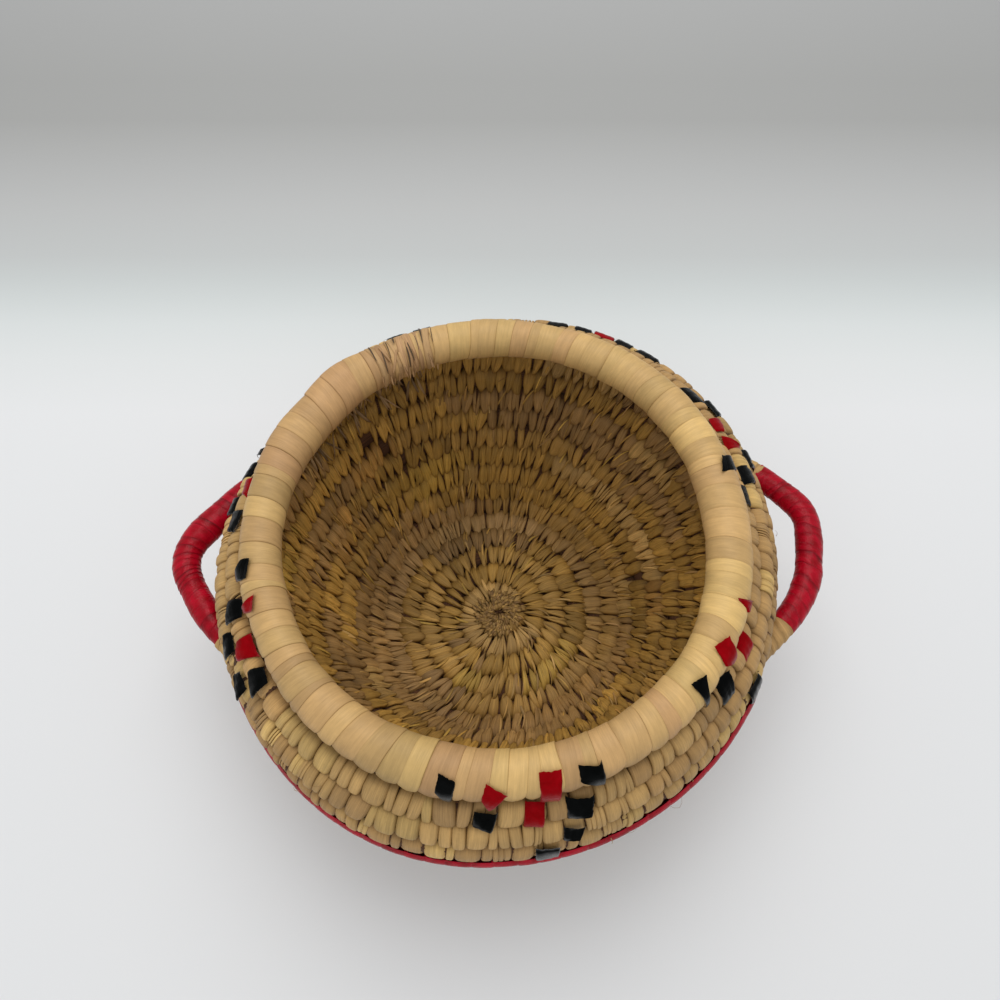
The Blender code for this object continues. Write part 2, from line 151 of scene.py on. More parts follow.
def warp(points, lowest=0):
    """Bends the round wall a little out of round, as the real one is."""
    x, y, z = points[..., 0], points[..., 1], maximum(points[..., 2], lowest)
    azimuth = np.arctan2(y, x)
    radius = np.hypot(x, y)
    rise = clip(z / 0.085, 0, 1) ** 1.5 * clip((0.1165 - z) / 0.02, 0.08, 1)
    push = facing(
        azimuth, (0.006, 60, 3), (0.0036, 124, 16), (-0.0026, -50, 2), (0.0014, 246, 12),
        (-0.001, 220, 6), (-0.0022, 150, 12),
    )
    crown = facing(azimuth, (-0.0021, 4, 6)) * ramp_up(z, 0.104, 0.01)
    factor = 1 + (push * rise + crown) * ramp_up(radius, 0.02, 0.06) / maximum(radius, 0.02)
    return vectors(x * factor, y * factor, z)


def grid_faces(count, rows, columns, wrap):
    """Returns the quads of many grids of points laid out one after the other."""
    i = arange(rows - 1)[:, None]
    j = arange(columns if wrap else columns - 1)[None, :]
    k = (j + 1) % columns
    near, far = i * columns, (i + 1) * columns
    quads = stack([near + j, near + k, far + k, far + j], -1).reshape(-1, 4)
    return (quads[None] + (arange(count) * rows * columns)[:, None, None]).reshape(-1, 4)


def add_object(name, data):
    """Adds an object to the scene."""
    added = bpy.data.objects.new(name, data)
    bpy.context.scene.collection.objects.link(added)
    return added


def new_piece(name, slot, material, points, grain, tints=(1, 1, 1), flip=False, wrap=False):
    """Makes a mesh piece that rides on the basket, with a tint and a grain place at each point.

    The points are in rows and columns, of one sheet or of many. A grain place is across a
    strip, along it, and a number that sets the strip apart.
    """
    faces = grid_faces(*(1, *points.shape)[-4:-1], wrap)[:, :: -1 if flip else 1]
    points = points.reshape(-1, 3)
    mesh = bpy.data.meshes.new(name)
    mesh.from_pydata(points.tolist(), [], faces.tolist(), shade_flat=False)
    rgba = np.ones((len(points), 4))
    rgba[:, :3] = np.asarray(tints).reshape(-1, 3)
    layer = mesh.attributes.new("tint", "FLOAT_COLOR", "POINT")
    layer.data.foreach_set("color", rgba.astype(np.float32).ravel())
    layer = mesh.attributes.new("grain", "FLOAT_VECTOR", "POINT")
    layer.data.foreach_set("vector", grain.astype(np.float32).ravel())
    mesh.materials.append(material)
    piece = add_object(name, mesh)
    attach(piece, "root")
    return piece


# The wall's stitches are four pieces, from the middle of the base up, by turns of the coil
SECTIONS = (("base", 0, 8), ("low", 8, 11.5), ("middle", 11.5, 15), ("high", 15, 20))


def new_sections(stem, material, turns, points, grain, tints, flip=False):
    """Makes the pieces of a wall's strips, each strip with the section its turn lies in."""
    for section, first, last in SECTIONS:
        chosen = (turns >= first) & (turns < last)
        shown = points[chosen], grain[chosen], tints[chosen], flip
        new_piece(f"{stem}_{section}", "palm_leaf", material, *shown)


class Nodes:
    """A short way to build a material's node tree."""

    def __init__(self, name):
        self.material = bpy.data.materials.new(name)
        self.material.use_nodes = True
        self.tree = self.material.node_tree
        self.shader = self.tree.nodes["Principled BSDF"]

    def add(self, kind, inputs=(), **settings):
        """Adds a node, sets its properties and joins or sets its inputs, in order or by key."""
        node = self.tree.nodes.new(kind)
        for key, value in settings.items():
            setattr(node, key, value)
        for key, value in inputs.items() if isinstance(inputs, dict) else enumerate(inputs):
            self.put(node, key, value)
        return node

    def put(self, node, key, value):
        """Joins an output to an input, or sets the input."""
        socket = node.inputs[key]
        if isinstance(value, bpy.types.NodeSocket):
            self.tree.links.new(value, socket)
        else:
            socket.default_value = value

    def shade(self, **inputs):
        """Joins or sets the shader's inputs, named with _ for each space."""
        for key, value in inputs.items():
            self.put(self.shader, key.replace("_", " "), value)

    def noise(self, vector, stretch, detail=3, roughness=0.55, distortion=0):
        """Adds a noise texture over a vector scaled by three numbers and returns its value."""
        scaled = self.add("ShaderNodeVectorMath", (vector, stretch), operation="MULTIPLY")
        inputs = {"Vector": scaled.outputs[0], "Scale": 1, "Detail": detail}
        inputs.update({"Roughness": roughness, "Distortion": distortion})
        return self.add("ShaderNodeTexNoise", inputs).outputs[0]

    def spread(self, value, low, high, to_low=0, to_high=1):
        """Maps a value's range to another range, held at both ends."""
        return self.add("ShaderNodeMapRange", (value, low, high, to_low, to_high)).outputs[0]

    def maths(self, operation, first, second):
        """Adds a maths node."""
        return self.add("ShaderNodeMath", (first, second), operation=operation).outputs[0]

    def mix(self, factor, first, second, blend="MIX"):
        """Mixes two colours."""
        inputs = {0: factor, 6: first, 7: second}
        return self.add("ShaderNodeMix", inputs, data_type="RGBA", blend_type=blend).outputs[2]

    def named(self, name, output):
        """Reads a named attribute."""
        return self.add("ShaderNodeAttribute", attribute_name=name).outputs[output]

    def bump(self, first, share, second, more, strength, distance):
        """Adds a bump from shares of two values."""
        first, second = (self.maths("MULTIPLY", *pair) for pair in ((first, share), (second, more)))
        height = self.maths("ADD", first, second)
        inputs = {"Height": height, "Strength": strength, "Distance": distance}
        return self.add("ShaderNodeBump", inputs).outputs["Normal"]


def leaf_material(name, rough, streaks, broads, fleck, bump):
    """Dried palm leaf: fine grain along the strip, streaks, flecks and a dull gloss."""
    n = Nodes(name)
    grain = n.named("grain", "Vector")
    fine = n.noise(grain, (4.2, 0.1, 1), 4, 0.65)
    broad = n.noise(grain, (1.1, 0.05, 1), 3, 0.5)
    blotch = n.noise(grain, (0.3, 0.12, 1), 3, 0.6)
    dark = n.spread(fine, 0.34, 0.64, 1 - streaks, 1 + 0.25 * streaks)
    wide = n.spread(broad, 0.34, 0.66, 1 - broads, 1 + 0.5 * broads)
    patch = n.spread(blotch, 0.35, 0.7, 0.9, 1.06)
    value = n.maths("MULTIPLY", n.maths("MULTIPLY", dark, wide), patch)
    shade = n.add("ShaderNodeCombineColor", (value, value, value)).outputs[0]
    colour = n.mix(1, n.named("tint", "Color"), shade, "MULTIPLY")
    specks = n.noise(grain, (1.6, 0.6, 1), 2, 0.7)
    colour = n.mix(n.spread(specks, 0.68, 0.76, 0, fleck), colour, (0.16, 0.075, 0.02, 1))
    gloss = n.spread(fine, 0.3, 0.7, rough + 0.08, rough - 0.06)
    relief = n.bump(fine, 0.6, broad, 0.8, bump, 0.0004)
    n.shade(Base_Color=colour, Roughness=gloss, Specular_IOR_Level=0.3, Normal=relief)
    return n.material


def bundle_material():
    """The bundle of leaf ribs under the stitches: a real part, coloured dark as painted shade for
    the gaps where it shows.
    """
    n = Nodes("dark_bundle")
    fine = n.noise(n.named("grain", "Vector"), (2.2, 0.05, 1), 4, 0.6)
    # these dark tones are painted shade for the gaps where the bundle shows
    dark, light = (0.022, 0.0065, 0.0018, 1), (0.12, 0.045, 0.012, 1)
    inputs = {"Height": fine, "Strength": 0.8, "Distance": 0.0005}
    relief = n.add("ShaderNodeBump", inputs).outputs["Normal"]
    n.shade(Base_Color=n.mix(n.spread(fine, 0.35, 0.65), dark, light), Roughness=0.9, Normal=relief)
    return n.material


def plastic_material(name, dark, light, rough, crease, gloss, sheen=None):
    """Plastic strip: a plain colour, fine wrinkles and a gloss, raised where it faces sideways and
    down as a painted sheen.
    """
    n = Nodes(name)
    grain = n.named("grain", "Vector")
    wrinkle = n.noise(grain, (0.35, 1.9, 1), 4, 0.6, 0.5)
    broad = n.noise(grain, (0.22, 0.25, 1), 2, 0.5, 0.6)
    colour = n.mix(n.spread(broad, 0.3, 0.7), (*dark, 1), (*light, 1))
    colour = n.mix(1, colour, n.named("tint", "Color"), "MULTIPLY")
    # the gloss follows which way the face looks, a painted sheen on faces that look sideways and
    # down
    if sheen is not None:
        way = n.add("ShaderNodeSeparateXYZ", [n.add("ShaderNodeNewGeometry").outputs["Normal"]])
        gloss = n.spread(way.outputs[2], 0.05, 0.6, sheen, gloss)
    dull = n.spread(wrinkle, 0.3, 0.7, rough, rough + 0.14)
    relief = n.bump(wrinkle, 0.5, broad, 1.4, crease, 0.0006)
    n.shade(Base_Color=colour, Roughness=dull, Specular_IOR_Level=gloss, Normal=relief)
    return n.material


LEAF = leaf_material("sewn_leaf", 0.64, 0.36, 0.16, 0.45, 0.7)
OUTER_LEAF = leaf_material("outer_leaf", 0.6, 0.22, 0.12, 0.35, 0.6)
RIM_LEAF = leaf_material("rim_leaf", 0.52, 0.1, 0.07, 0.1, 0.22)
BUNDLE = bundle_material()
CRIMSON = plastic_material(
    "crimson_wrap", (0.235, 0.0006, 0.005), (0.415, 0.003, 0.017), 0.17, 0.36, 0.12
)
CRIMSON_FLAT = plastic_material(
    "crimson_strip", (0.205, 0.0003, 0.0016), (0.285, 0.001, 0.004), 0.24, 0.3, 0.025, 0.3
)
BLACK = plastic_material(
    "black_strip", (0.0008, 0.001, 0.0009), (0.0022, 0.0026, 0.0026), 0.15, 0.35, 0.03, 0.7
)

# Columns across a sewn strip: where they are, how far each lies under the crown in
# millimetres, and how dark the strip's colour is there, a painted shade at its sides
ACROSS = [-1, -0.9, -0.68, -0.36, 0, 0.36, 0.68, 0.9, 1]
INNER_UNDER = array([1.55, 0.5, 0.19, 0.05, 0, 0.05, 0.19, 0.5, 1.55])
OUTER_UNDER = array([1.6, 0.5, 0.14, 0.03, 0, 0.03, 0.14, 0.5, 1.6])
EDGE_SHADE = array([0.55, 0.74, 0.95, 1, 1, 1, 0.95, 0.74, 0.55])
# How much more than red the green and blue fall off in a leaf's painted shade
FALL = (1, 1.15, 1.5)


def between(share, values):
    """Reads evenly spaced values at shares of their length."""
    return interp(share, linspace(0, 1, len(values)), values)


def by_strip(values):
    """Lays one value per strip along the first of three axes, before rows and columns."""
    return np.asarray(values)[..., None, None]


def strips(
    turn, width, slant, path, shape, swell, under, colours, ends, across=EDGE_SHADE,
    bow=0, lift=0, slide=0, lowest=0,
):
    """Returns points (strip, row, column, 3), grain and tints of strips over the coil.

    path gives, from a strip's lower to its upper end, its place out from the bundle's middle
    and up the wall in millimetres, and shape its share of the width there. ends has each
    row's share of the colour, and across each column's, as painted shade at its ends and sides.
    """
    v = linspace(0, 1, len(ends))[:, None]
    path = array(path)
    outward, upward = (between(v, path[:, k]) / 1000 for k in (0, 1))
    wide = stack([between(v, row) for row in shape])
    half = by_strip(width) * wide / 2 * ACROSS
    arch = sin(pi * v)
    along = by_strip(slant) * (v - 0.5) + half + by_strip(bow) * arch
    turns = by_strip(turn) + along / by_strip(way_round(turn))
    fall = under / 1000 * by_strip(clip(width / 0.0045, 0.55, 1.25))
    crown = by_strip(swell) * arch + by_strip(lift)
    depth = outward + np.sign(outward.mean()) * (crown - fall)
    place = upward + by_strip(slide)
    points = coil_points(turns, depth, place)
    length = np.append(0, np.cumsum(np.hypot(*np.diff(path, axis=0).T)))
    number = by_strip(arange(len(turn)) * 7.31 % 97)
    grain = vectors(half * 1000, between(v, length), number)
    return warp(points, lowest), grain, shaded(colours, points, across, ends)


def along_coil(first, last, spacing):
    """Returns turns from first to last, one after each spacing drawn in metres."""
    turns = []
    turn = first
    while turn < last:
        turns.append(turn)
        turn += spacing(turn) / way_round(turn)
    return array(turns)


def middles(edges):
    """Returns the middles and the lengths between edges."""
    return (edges[1:] + edges[:-1]) / 2, np.diff(edges)


def split(parts):
    """Returns, for strips that come in parts, each part's strip and its number in that strip."""
    source = np.repeat(arange(len(parts)), parts)
    return source, arange(len(source)) - np.repeat(np.cumsum(parts) - parts, parts)


def soft_noise(azimuth, level, seed):
    """A smooth field of -1 to 1 over the wall, for broad changes."""
    rng = np.random.default_rng(seed)
    total = 0
    for _ in range(7):
        waves, rate = rng.integers(1, 7), rng.uniform(0.2, 1.1)
        start, size = rng.uniform(0, tau), rng.uniform(0.5, 1)
        total += size * sin(waves * azimuth + rate * level + start)
    return total / 3.2


def run_colours(count, leaves, length, spread):
    """Returns a colour for each strip: one leaf makes a run of them, then comes another leaf.

    Each of the leaves has its colour and how common it is.
    """
    runs = np.cumsum(RNG.random(count) < 1 / length)
    colours, shares = array(leaves)[:, :3], array(leaves)[:, 3]
    picks = RNG.choice(len(leaves), runs[-1] + 1, p=shares / sum(shares))
    leaf = colours[picks] * (1 + normal(0, spread, (runs[-1] + 1, 1)))
    colour = leaf[runs] * (1 + normal(0, 0.6 * spread, (count, 1)))
    return clip(colour, 0.004, 0.9)


def shaded(colours, points, across, ends=1):
    """Spreads one colour per strip over its points, with painted shade at its sides and its ends.
    """
    shade = array(across)[:, None] ** FALL * by_strip(ends) ** FALL
    return np.broadcast_to(colours[:, None, None] * shade, points.shape)


def make_bundle():
    """The bundle, close enough to its neighbours that no light comes through, dark as painted shade
    in the gaps.
    """
    turns = arange(TIP_TURN, COIL_TURNS + END_TAPER, 1 / 96)[:, None]
    sides = 14
    angle = arange(sides) * tau / sides
    points = warp(coil_points(turns, 0.0039 * cos(angle), 0.00525 * sin(angle)), 0.0002)
    grain = vectors(arange(sides) * 2, turns * 500)
    return new_piece("wall_bundle", "palm_leaf", BUNDLE, points, grain, wrap=True)


# The inner stitches: slanting pointed ovals whose lower ends lie over the row below
INNER_PATH = [
    (-3.4, -8.6), (-4.6, -7.6), (-4.9, -6.5), (-4.6, -5.2), (-4.65, -3.8), (-5, -2),
    (-5.1, -0.2), (-4.75, 1.9), (-4.1, 3.8), (-2.9, 5.3), (-1.4, 6.3),
]
INNER_LOW_POINT = [0.04, 0.24, 0.46, 0.66, 0.84, 1.00, 1.14, 1.2, 1.1, 0.8, 0.4]
INNER_HIGH_POINT = [0.26, 0.6, 0.9, 1.08, 1.18, 1.14, 0.98, 0.76, 0.52, 0.32, 0.18]
# INNER_ENDS: each row's share of the colour, a painted shade towards the stitch's ends
INNER_ENDS = [0.35, 0.5, 0.72, 0.92, 1, 1, 1, 1, 0.96, 0.8, 0.56, 0.4, 0.3]
INNER_LEAVES = [
    (0.505, 0.283, 0.06, 0.34), (0.515, 0.292, 0.072, 0.24), (0.415, 0.238, 0.08, 0.15),
    (0.575, 0.35, 0.07, 0.1), (0.445, 0.238, 0.06, 0.07), (0.56, 0.34, 0.11, 0.1),
]
RING_BROWN = (0.4, 0.238, 0.098)
PATCH_YELLOW = (0.7, 0.43, 0.07)
# Places where stitches are gone and the bundle's painted shade shows: turns of the coil, and half
# widths
HOLES = ((12.448, 0.0034), (11.442, 0.0024), (10.428, 0.002), (16.46, 0.0022))


def inner_colours(turns):
    """Returns the stitches' colours inside, by leaf, ring and side, with painted light on the left
    side.
    """
    tints = run_colours(len(turns), INNER_LEAVES, 6, 0.1)
    azimuth = (START_AZIMUTH + tau * turns) % tau
    chance = 1 + normal(0, 0.08, (len(turns), 1))
    ring = 0.8 * hump(turns, 5.5, 0.75) + 0.7 * hump(turns, 0, 0.9)
    ring = clip(ring * (0.72 + 0.28 * soft_noise(azimuth, turns, 3)), 0, 0.8)[:, None]
    tints = tints * (1 - ring) + ring * RING_BROWN * chance
    tints *= 1 - hump(turns, 3.2, 1.3)[:, None] * (0.04, 0.01, -0.04)
    near = 0.7 * (hump(azimuth, radians(118), 0.28) * hump(turns, 8.8, 1))[:, None]
    tints = tints * (1 - near) + near * PATCH_YELLOW
    # side: painted light makes the inner wall lighter on the left, and a little on the right, above
    # the base; it is also made darker in a band at the base's edge and high at the back left
    side = 1 + ramp_up(turns, 6, 3) * facing(azimuth, (0.28, 190, 2), (0.07, 0, 2))
    side -= 0.08 * hump(turns, 7.5, 1.6)
    side -= 0.12 * ramp_up(turns, 13.5, 3) * facing(azimuth, (1, 105, 1))
    return tints * (side * (1 + 0.14 * soft_noise(azimuth, turns, 8)))[:, None]


def make_inner_stitches():
    """The stitches seen inside the bowl, many of them split by the next row's stitches."""
    turns, gap = middles(along_coil(
        0.42, COIL_TURNS + 0.55,
        lambda turn: 0.0047 * uniform(0.66, 1.34) * min(1, 0.45 + turn / 5),
    ))
    keep = RNG.random(len(turns)) > 0.004
    for turn, reach in HOLES:
        keep &= np.abs(turns - turn) * way_round(turns) > reach
    turns, gap = turns[keep], (gap * way_round(turns))[keep]
    colours = inner_colours(turns)
    parts = RNG.choice([1, 2, 3], len(turns), p=[0.46, 0.36, 0.18])
    source, number = split(parts)
    count, parts = len(source), parts[source]
    azimuth = START_AZIMUTH + tau * turns
    width = (gap * (1.1 + normal(0, 0.1, len(turns))))[source]
    apart = ((2 * number + 1) / parts - 1) * width / 2
    width /= parts**0.8
    lean = -0.0036 - facing(azimuth, (0.0011, 205, 1), (-0.0016, 85, 1))
    lean = (lean + normal(0, 0.0014, len(turns)))[source]
    lean = lean + 0.95 * apart + normal(0, 0.0005, count)
    middle = turns[source] + 0.6 * apart / way_round(turns[source])
    mix = (RNG.random(count) ** where(parts > 1, 1, 1.5))[:, None]
    shape = (1 - mix) * INNER_LOW_POINT + mix * INNER_HIGH_POINT
    swell = 0.0003 * RNG.random(count)
    bow, lift, slide = (normal(0, size, count) for size in (0.0005, 0.00026, 0.0007))
    colours = clip(colours[source] * (1 + normal(0, 0.09, (count, 1))), 0.004, 0.9)
    sewn = strips(
        middle, width, lean, INNER_PATH, shape, swell, INNER_UNDER, colours, INNER_ENDS,
        bow=bow, lift=lift, slide=slide, lowest=0.0004,
    )
    new_sections("inner_stitches", LEAF, middle, *sewn, flip=True)


SLIVER_PATH = [
    (-4.2, -5.6), (-4.9, -4.2), (-5.2, -2), (-5.35, 0), (-5.15, 2.2), (-4.6, 4), (-4, 5.2)
]


def make_slivers():
    """Thin splinters of leaf that lie over the inner stitches and stand off their ends."""
    count = 900
    turns = 1 + 16.8 * RNG.random(count) ** 0.7
    width = uniform(0.0005, 0.0014, count)
    lean = normal(-0.0034, 0.0024, count)
    shape = np.broadcast_to([0.3, 0.8, 1, 1, 0.7, 0.2], (count, 6))
    swell = uniform(0.00002, 0.00026, count)
    slide = normal(0, 0.0016, count)
    # some are torn ends under the rim, inside the splice
    rng, torn = np.random.default_rng(21), 64
    places = np.radians(rng.normal(130, 11, torn))
    turns[:torn] = [level_turn(5, place) for place in places] + rng.choice([0, 1, 1], torn)
    width[:torn] = rng.uniform(0.0007, 0.002, torn)
    lean[:torn] = rng.normal(0, 0.0052, torn)
    lift = np.zeros(count)
    lift[:torn] = rng.uniform(0.0003, 0.0022, torn)
    slide[:torn] = rng.uniform(-0.001, 0.003, torn)
    colours = inner_colours(turns) * uniform(0.88, 1.28, (count, 1))
    colours[:torn] = rng.uniform(0.6, 1.5, (torn, 1)) * (0.4, 0.25, 0.115)
    colours = clip(colours, 0.004, 0.9)
    # painted shade towards the splinters' ends
    ends = between(linspace(0, 1, 9), [0.6, 1, 1, 0.75])
    sewn = strips(
        turns, width, lean, SLIVER_PATH, shape, swell, INNER_UNDER / 4, colours, ends,
        bow=0.0005, lift=lift, slide=slide,
    )
    new_piece("inner_slivers", "palm_leaf", LEAF, *sewn, flip=True)


CENTRE_LEAVES = [
    (0.4, 0.238, 0.08, 0.4), (0.46, 0.278, 0.084, 0.35), (0.32, 0.186, 0.07, 0.25)
]


def make_centre():
    """The start of the coil: fine short ends of leaf round the middle, above and below."""
    count, rows, columns = 330, 7, 5
    each = count, 1, 1
    run = linspace(0, 1, rows)[:, None]
    cross = linspace(-1, 1, columns)
    layers = []
    for side, top in ((1, 0.0089), (-1, 0.0015)):
        inner = 0.0002 + 0.0102 * RNG.random(each) ** 0.62
        length = uniform(0.0021, 0.004, each)
        radius = inner + length * run
        tilt = normal(-0.35, 0.3, each) * length / (inner + 0.0035)
        start = uniform(0, tau, each)
        half = uniform(0.00045, 0.0009, each) * sin(pi * (0.12 + 0.8 * run))
        half = half * np.minimum(1, 0.35 + radius / 0.006) / maximum(radius, 0.0008)
        angle = start + side * tilt * (run - 0.5) + cross * half
        height = 0.0007 * sin(pi * run) - 0.0005 * (1 - clip(radius / 0.004, 0, 1))
        height = height + normal(0.0002, 0.00025, each) - 0.00025 * cross**2
        layers.append(polar(radius, angle, top + side * height))
    points = np.concatenate(layers)
    points[..., 2] = maximum(points[..., 2], 0.0001)
    grain = vectors(cross * 0.5, run * 8, by_strip(arange(2 * count) * 3.3))
    colours = run_colours(2 * count, CENTRE_LEAVES, 1.5, 0.12)
    # painted shade towards the ends and the sides of each short end of leaf
    ends = between(run[:, 0], [0.6, 1, 1, 0.7])
    tints = shaded(colours, points, [0.6, 0.9, 1, 0.9, 0.6], ends)
    new_piece("centre_whorl", "palm_leaf", LEAF, points, grain, tints)


def make_centre_bed():
    """The knot of leaf under the middle's thin ends, dark as painted shade between them."""
    rings, sides = 8, 28
    share = linspace(0.02, 1, rings)[:, None]
    angle = arange(sides) * tau / sides
    layers = []
    for top, bend in ((0.008, -1), (0.0019, 1)):
        ring, height = 0.0056 * share, top + bend * 0.0022 * share**2
        layers.append(polar(ring, angle, height))
    points = stack(layers)
    new_piece("centre_bed", "palm_leaf", BUNDLE, points, points * 1000, wrap=True)


# The outer stitches: rounded blocks that overhang the row below, with dark notches between, where
# the bundle's painted shade shows
OUTER_PATH = [
    (2.4, -6.5), (4, -5.9), (4.75, -4.7), (4.95, -3.2), (5.15, -1.2), (5.2, 0.8),
    (4.8, 2.8), (3.8, 4.6), (2.2, 5.9),
]
OUTER_ROUND = [0.4, 0.76, 0.95, 1, 1, 1, 1, 0.97, 0.92]
OUTER_WEDGE = [0.3, 0.56, 0.76, 0.88, 0.96, 1.02, 1.04, 1.02, 0.98]
# OUTER_ENDS: each row's share of the colour, a painted shade towards the stitch's ends
OUTER_ENDS = [0.45, 0.66, 0.9, 1, 1, 1, 1, 1, 0.94, 0.72, 0.5]
OUTER_LEAVES = [
    (0.555, 0.342, 0.124, 0.38), (0.495, 0.292, 0.106, 0.27),
    (0.615, 0.4, 0.138, 0.2), (0.43, 0.258, 0.098, 0.15),
]
# Stitches narrower than this, in metres, can be combs of ribs
COMB_WIDTH = 0.0015 * pi


def outer_spacing(_):
    """Draws the next outer stitch's width: wide leaves, and bunches of narrow ribs."""
    if RNG.random() < 0.6:
        return uniform(0.0064, 0.0098)
    return uniform(0.0022, 0.0046)


def places(table):
    """Returns the row and the azimuth of each plastic strip in a table."""
    return [(level, radians(degrees)) for level in table for degrees in table[level]]


def patch_distance(turns):
    """Returns how far, in metres, each turn is from the nearest plastic strip on its row."""
    rows = [place for place in places(BLACK_PATCHES) + places(RED_PATCHES) if place[0]]
    away = [np.abs(turns - level_turn(*place)) for place in rows]
    return np.min(away, axis=0) * way_round(turns)


def make_outer_stitches():
    """The puffy stitches seen on the outside."""
    turns, gap = middles(along_coil(0.42, COIL_TURNS + 0.62, outer_spacing))
    keep = (turns < BAND_FIRST - 0.005) | (turns > BAND_FIRST + 1.005)
    turns, gap = turns[keep], gap[keep]
    # some places show the leaf's ribs as a comb with dark slits, where the bundle's painted shade
    # shows
    comb = (RNG.random(len(turns)) < 0.18) & (gap * way_round(turns) < COMB_WIDTH)
    ribs = np.round(gap * way_round(turns) / 0.00125).astype(int)
    parts = where(comb, ribs, 1 + (RNG.random(len(turns)) < 0.2))
    source, number = split(parts)
    count, strip_count = len(source), len(parts)
    comb, gap, parts = comb[source], gap[source], parts[source]
    turns = turns[source] + gap * ((number + 0.5) / parts - 0.5)
    width = gap * way_round(turns) / parts * where(comb, 0.86, 1)
    width = width * where(comb, uniform(0.75, 1.2, count), 1) + where(comb, 0, 0.0003)
    azimuth = START_AZIMUTH + tau * turns
    lean = normal(0.0006, 0.0009, strip_count)[source]
    mix = RNG.random((count, 1)) ** 1.6
    shape = (1 - mix) * OUTER_ROUND + mix * OUTER_WEDGE
    swell = 0.00005 + 0.00055 * RNG.random(count) * clip(width / 0.007, 0.3, 1.2)
    lift = normal(0, 0.00016, count) - 0.0003 * comb
    lift -= 0.001 * (1 - ramp_up(turns, 16, 0.3)) * (turns > BAND_FIRST + 1)
    lift = maximum(lift - 0.0012 * (patch_distance(turns) < 0.0043), -0.0014)
    slide = normal(0, 0.00035, strip_count)[source]
    colours = run_colours(strip_count, OUTER_LEAVES, 2.6, 0.07)[source]
    # painted light and shade: the outer wall lighter on the left and darker at the front
    side = 1 + facing(azimuth, (0.05, 200, 3), (-0.08, 282, 4))
    colours *= (side * (1 + 0.05 * soft_noise(azimuth, turns, 12)))[:, None]
    sewn = strips(
        turns, width, lean, OUTER_PATH, shape, swell, OUTER_UNDER, colours, OUTER_ENDS,
        bow=0.0002, lift=lift, slide=slide, lowest=0.0001,
    )
    new_sections("outer_stitches", OUTER_LEAF, turns, *sewn)


CRIMSON_PATH = [
    (2.2, -5.9), (4.1, -5.2), (5.4, -3.8), (6, -1.8), (6.25, 0.4), (6.35, 2.7), (5.8, 4.6),
    (3.8, 5.8),
]


def make_red_row():
    """The row sewn in crimson plastic, its strips side by side."""
    edges = along_coil(BAND_FIRST, BAND_FIRST + 1, lambda turn: uniform(0.0066, 0.0104))
    edges = BAND_FIRST + (edges - BAND_FIRST) / (edges[-1] - BAND_FIRST)
    turns, gap = middles(edges)
    count = len(turns)
    width = gap * way_round(turns) * 1.18
    lean = normal(0.0012, 0.0007, count)
    shape = np.broadcast_to([0.92, 0.97, 1, 1, 1, 1, 1, 0.96], (count, 8))
    swell = 0.00016 * RNG.random(count)
    lift = normal(0, 0.00006, count)
    colours = np.ones((count, 3)) * (1 + normal(0, 0.06, (count, 1)))
    # the crimson strips get a weaker painted shade at their sides and none at their ends
    sewn = strips(
        turns, width, lean, CRIMSON_PATH, shape, swell, OUTER_UNDER * 0.32, colours, [1] * 11,
        EDGE_SHADE**0.4, lift=lift,
    )
    return new_piece("crimson_row", "crimson_plastic", CRIMSON, *sewn)


def rim_points(azimuth, angle, thickness):
    """Returns points on or near the rim's round surface."""
    radius = RIM_RADIUS + thickness * cos(angle)
    return polar(radius, azimuth, RIM_HEIGHT + thickness * sin(angle))


RIM_STRIPS = 78
LAP_ACROSS = array([-1, -0.86, -0.5, 0, 0.5, 0.82, 0.9, 0.96, 1])
LAP_RISE = array([-0.7, -0.1, 0.04, 0.12, 0.16, 0.19, 0.17, 0.02, -0.6]) / 1000
# LAP_SHADE: darker seams between lapped strips, partly painted shade of the lap's step and partly
# the tucked edge's own darker colour
LAP_SHADE = [0.48, 0.92, 1, 1, 1, 1, 0.93, 0.62, 0.4]
# How pale and yellow the rim's leaves are round it, against pinkish tan
PALE_AT = np.radians([
    0, 20, 45, 62, 80, 100, 112, 135, 160, 180, 200, 214, 228, 241, 244, 256, 259, 265, 268, 283,
    286, 293, 298, 312, 320, 335, 346, 352, 360,
])
PALE = [
    0.45, 0.65, 0.75, 0.45, 0.55, 0.95, 0.45, 0.12, 0.25, 0.6, 0.55, 0.7, 0.25, 0.55, 0.95, 0.95,
    0.2, 0.2, 0.75, 0.92, 0.22, 0.22, 0.45, 0.4, 0.8, 0.98, 0.95, 0.5, 0.45,
]
RIM_YELLOW = (0.645, 0.428, 0.158)
RIM_PINK = (0.475, 0.275, 0.12)
# Where the rim's outer side stands out or lies in: degrees, spread and height
RIM_BULGES = ((134, 8.5, 0.0028), (157, 10, 0.0015), (206, 11, -0.0014))


def rim_flat(angle):
    """Returns how the rim's section departs from a circle, as a share of its thickness."""
    return 1 - 0.02 * cos(2 * (angle - radians(50)))


def rim_bulge(azimuth, angle):
    """Returns how far the rim's outer side stands out or lies in, beside the splice and left."""
    degrees = np.degrees(azimuth)
    outward = sum(height * hump(degrees, at, spread) for at, spread, height in RIM_BULGES)
    return outward * clip(cos(angle) + 0.35, 0, 1)


def make_rim_bundle():
    """The bundle in the rim, dark as painted shade in the gaps between the strips' ends."""
    around, sides = 240, 18
    azimuth = arange(around + 1)[:, None] * tau / around
    angle = arange(sides) * tau / sides
    thickness = RIM_THICKNESS - 0.0015 + 0.0002 * sin(9 * angle + 40 * azimuth)
    points = warp(rim_points(azimuth, angle, thickness + rim_bulge(azimuth, angle)))
    grain = vectors(angle * 9, azimuth * 92)
    new_piece("rim_bundle", "palm_leaf", BUNDLE, points, grain, flip=True, wrap=True)


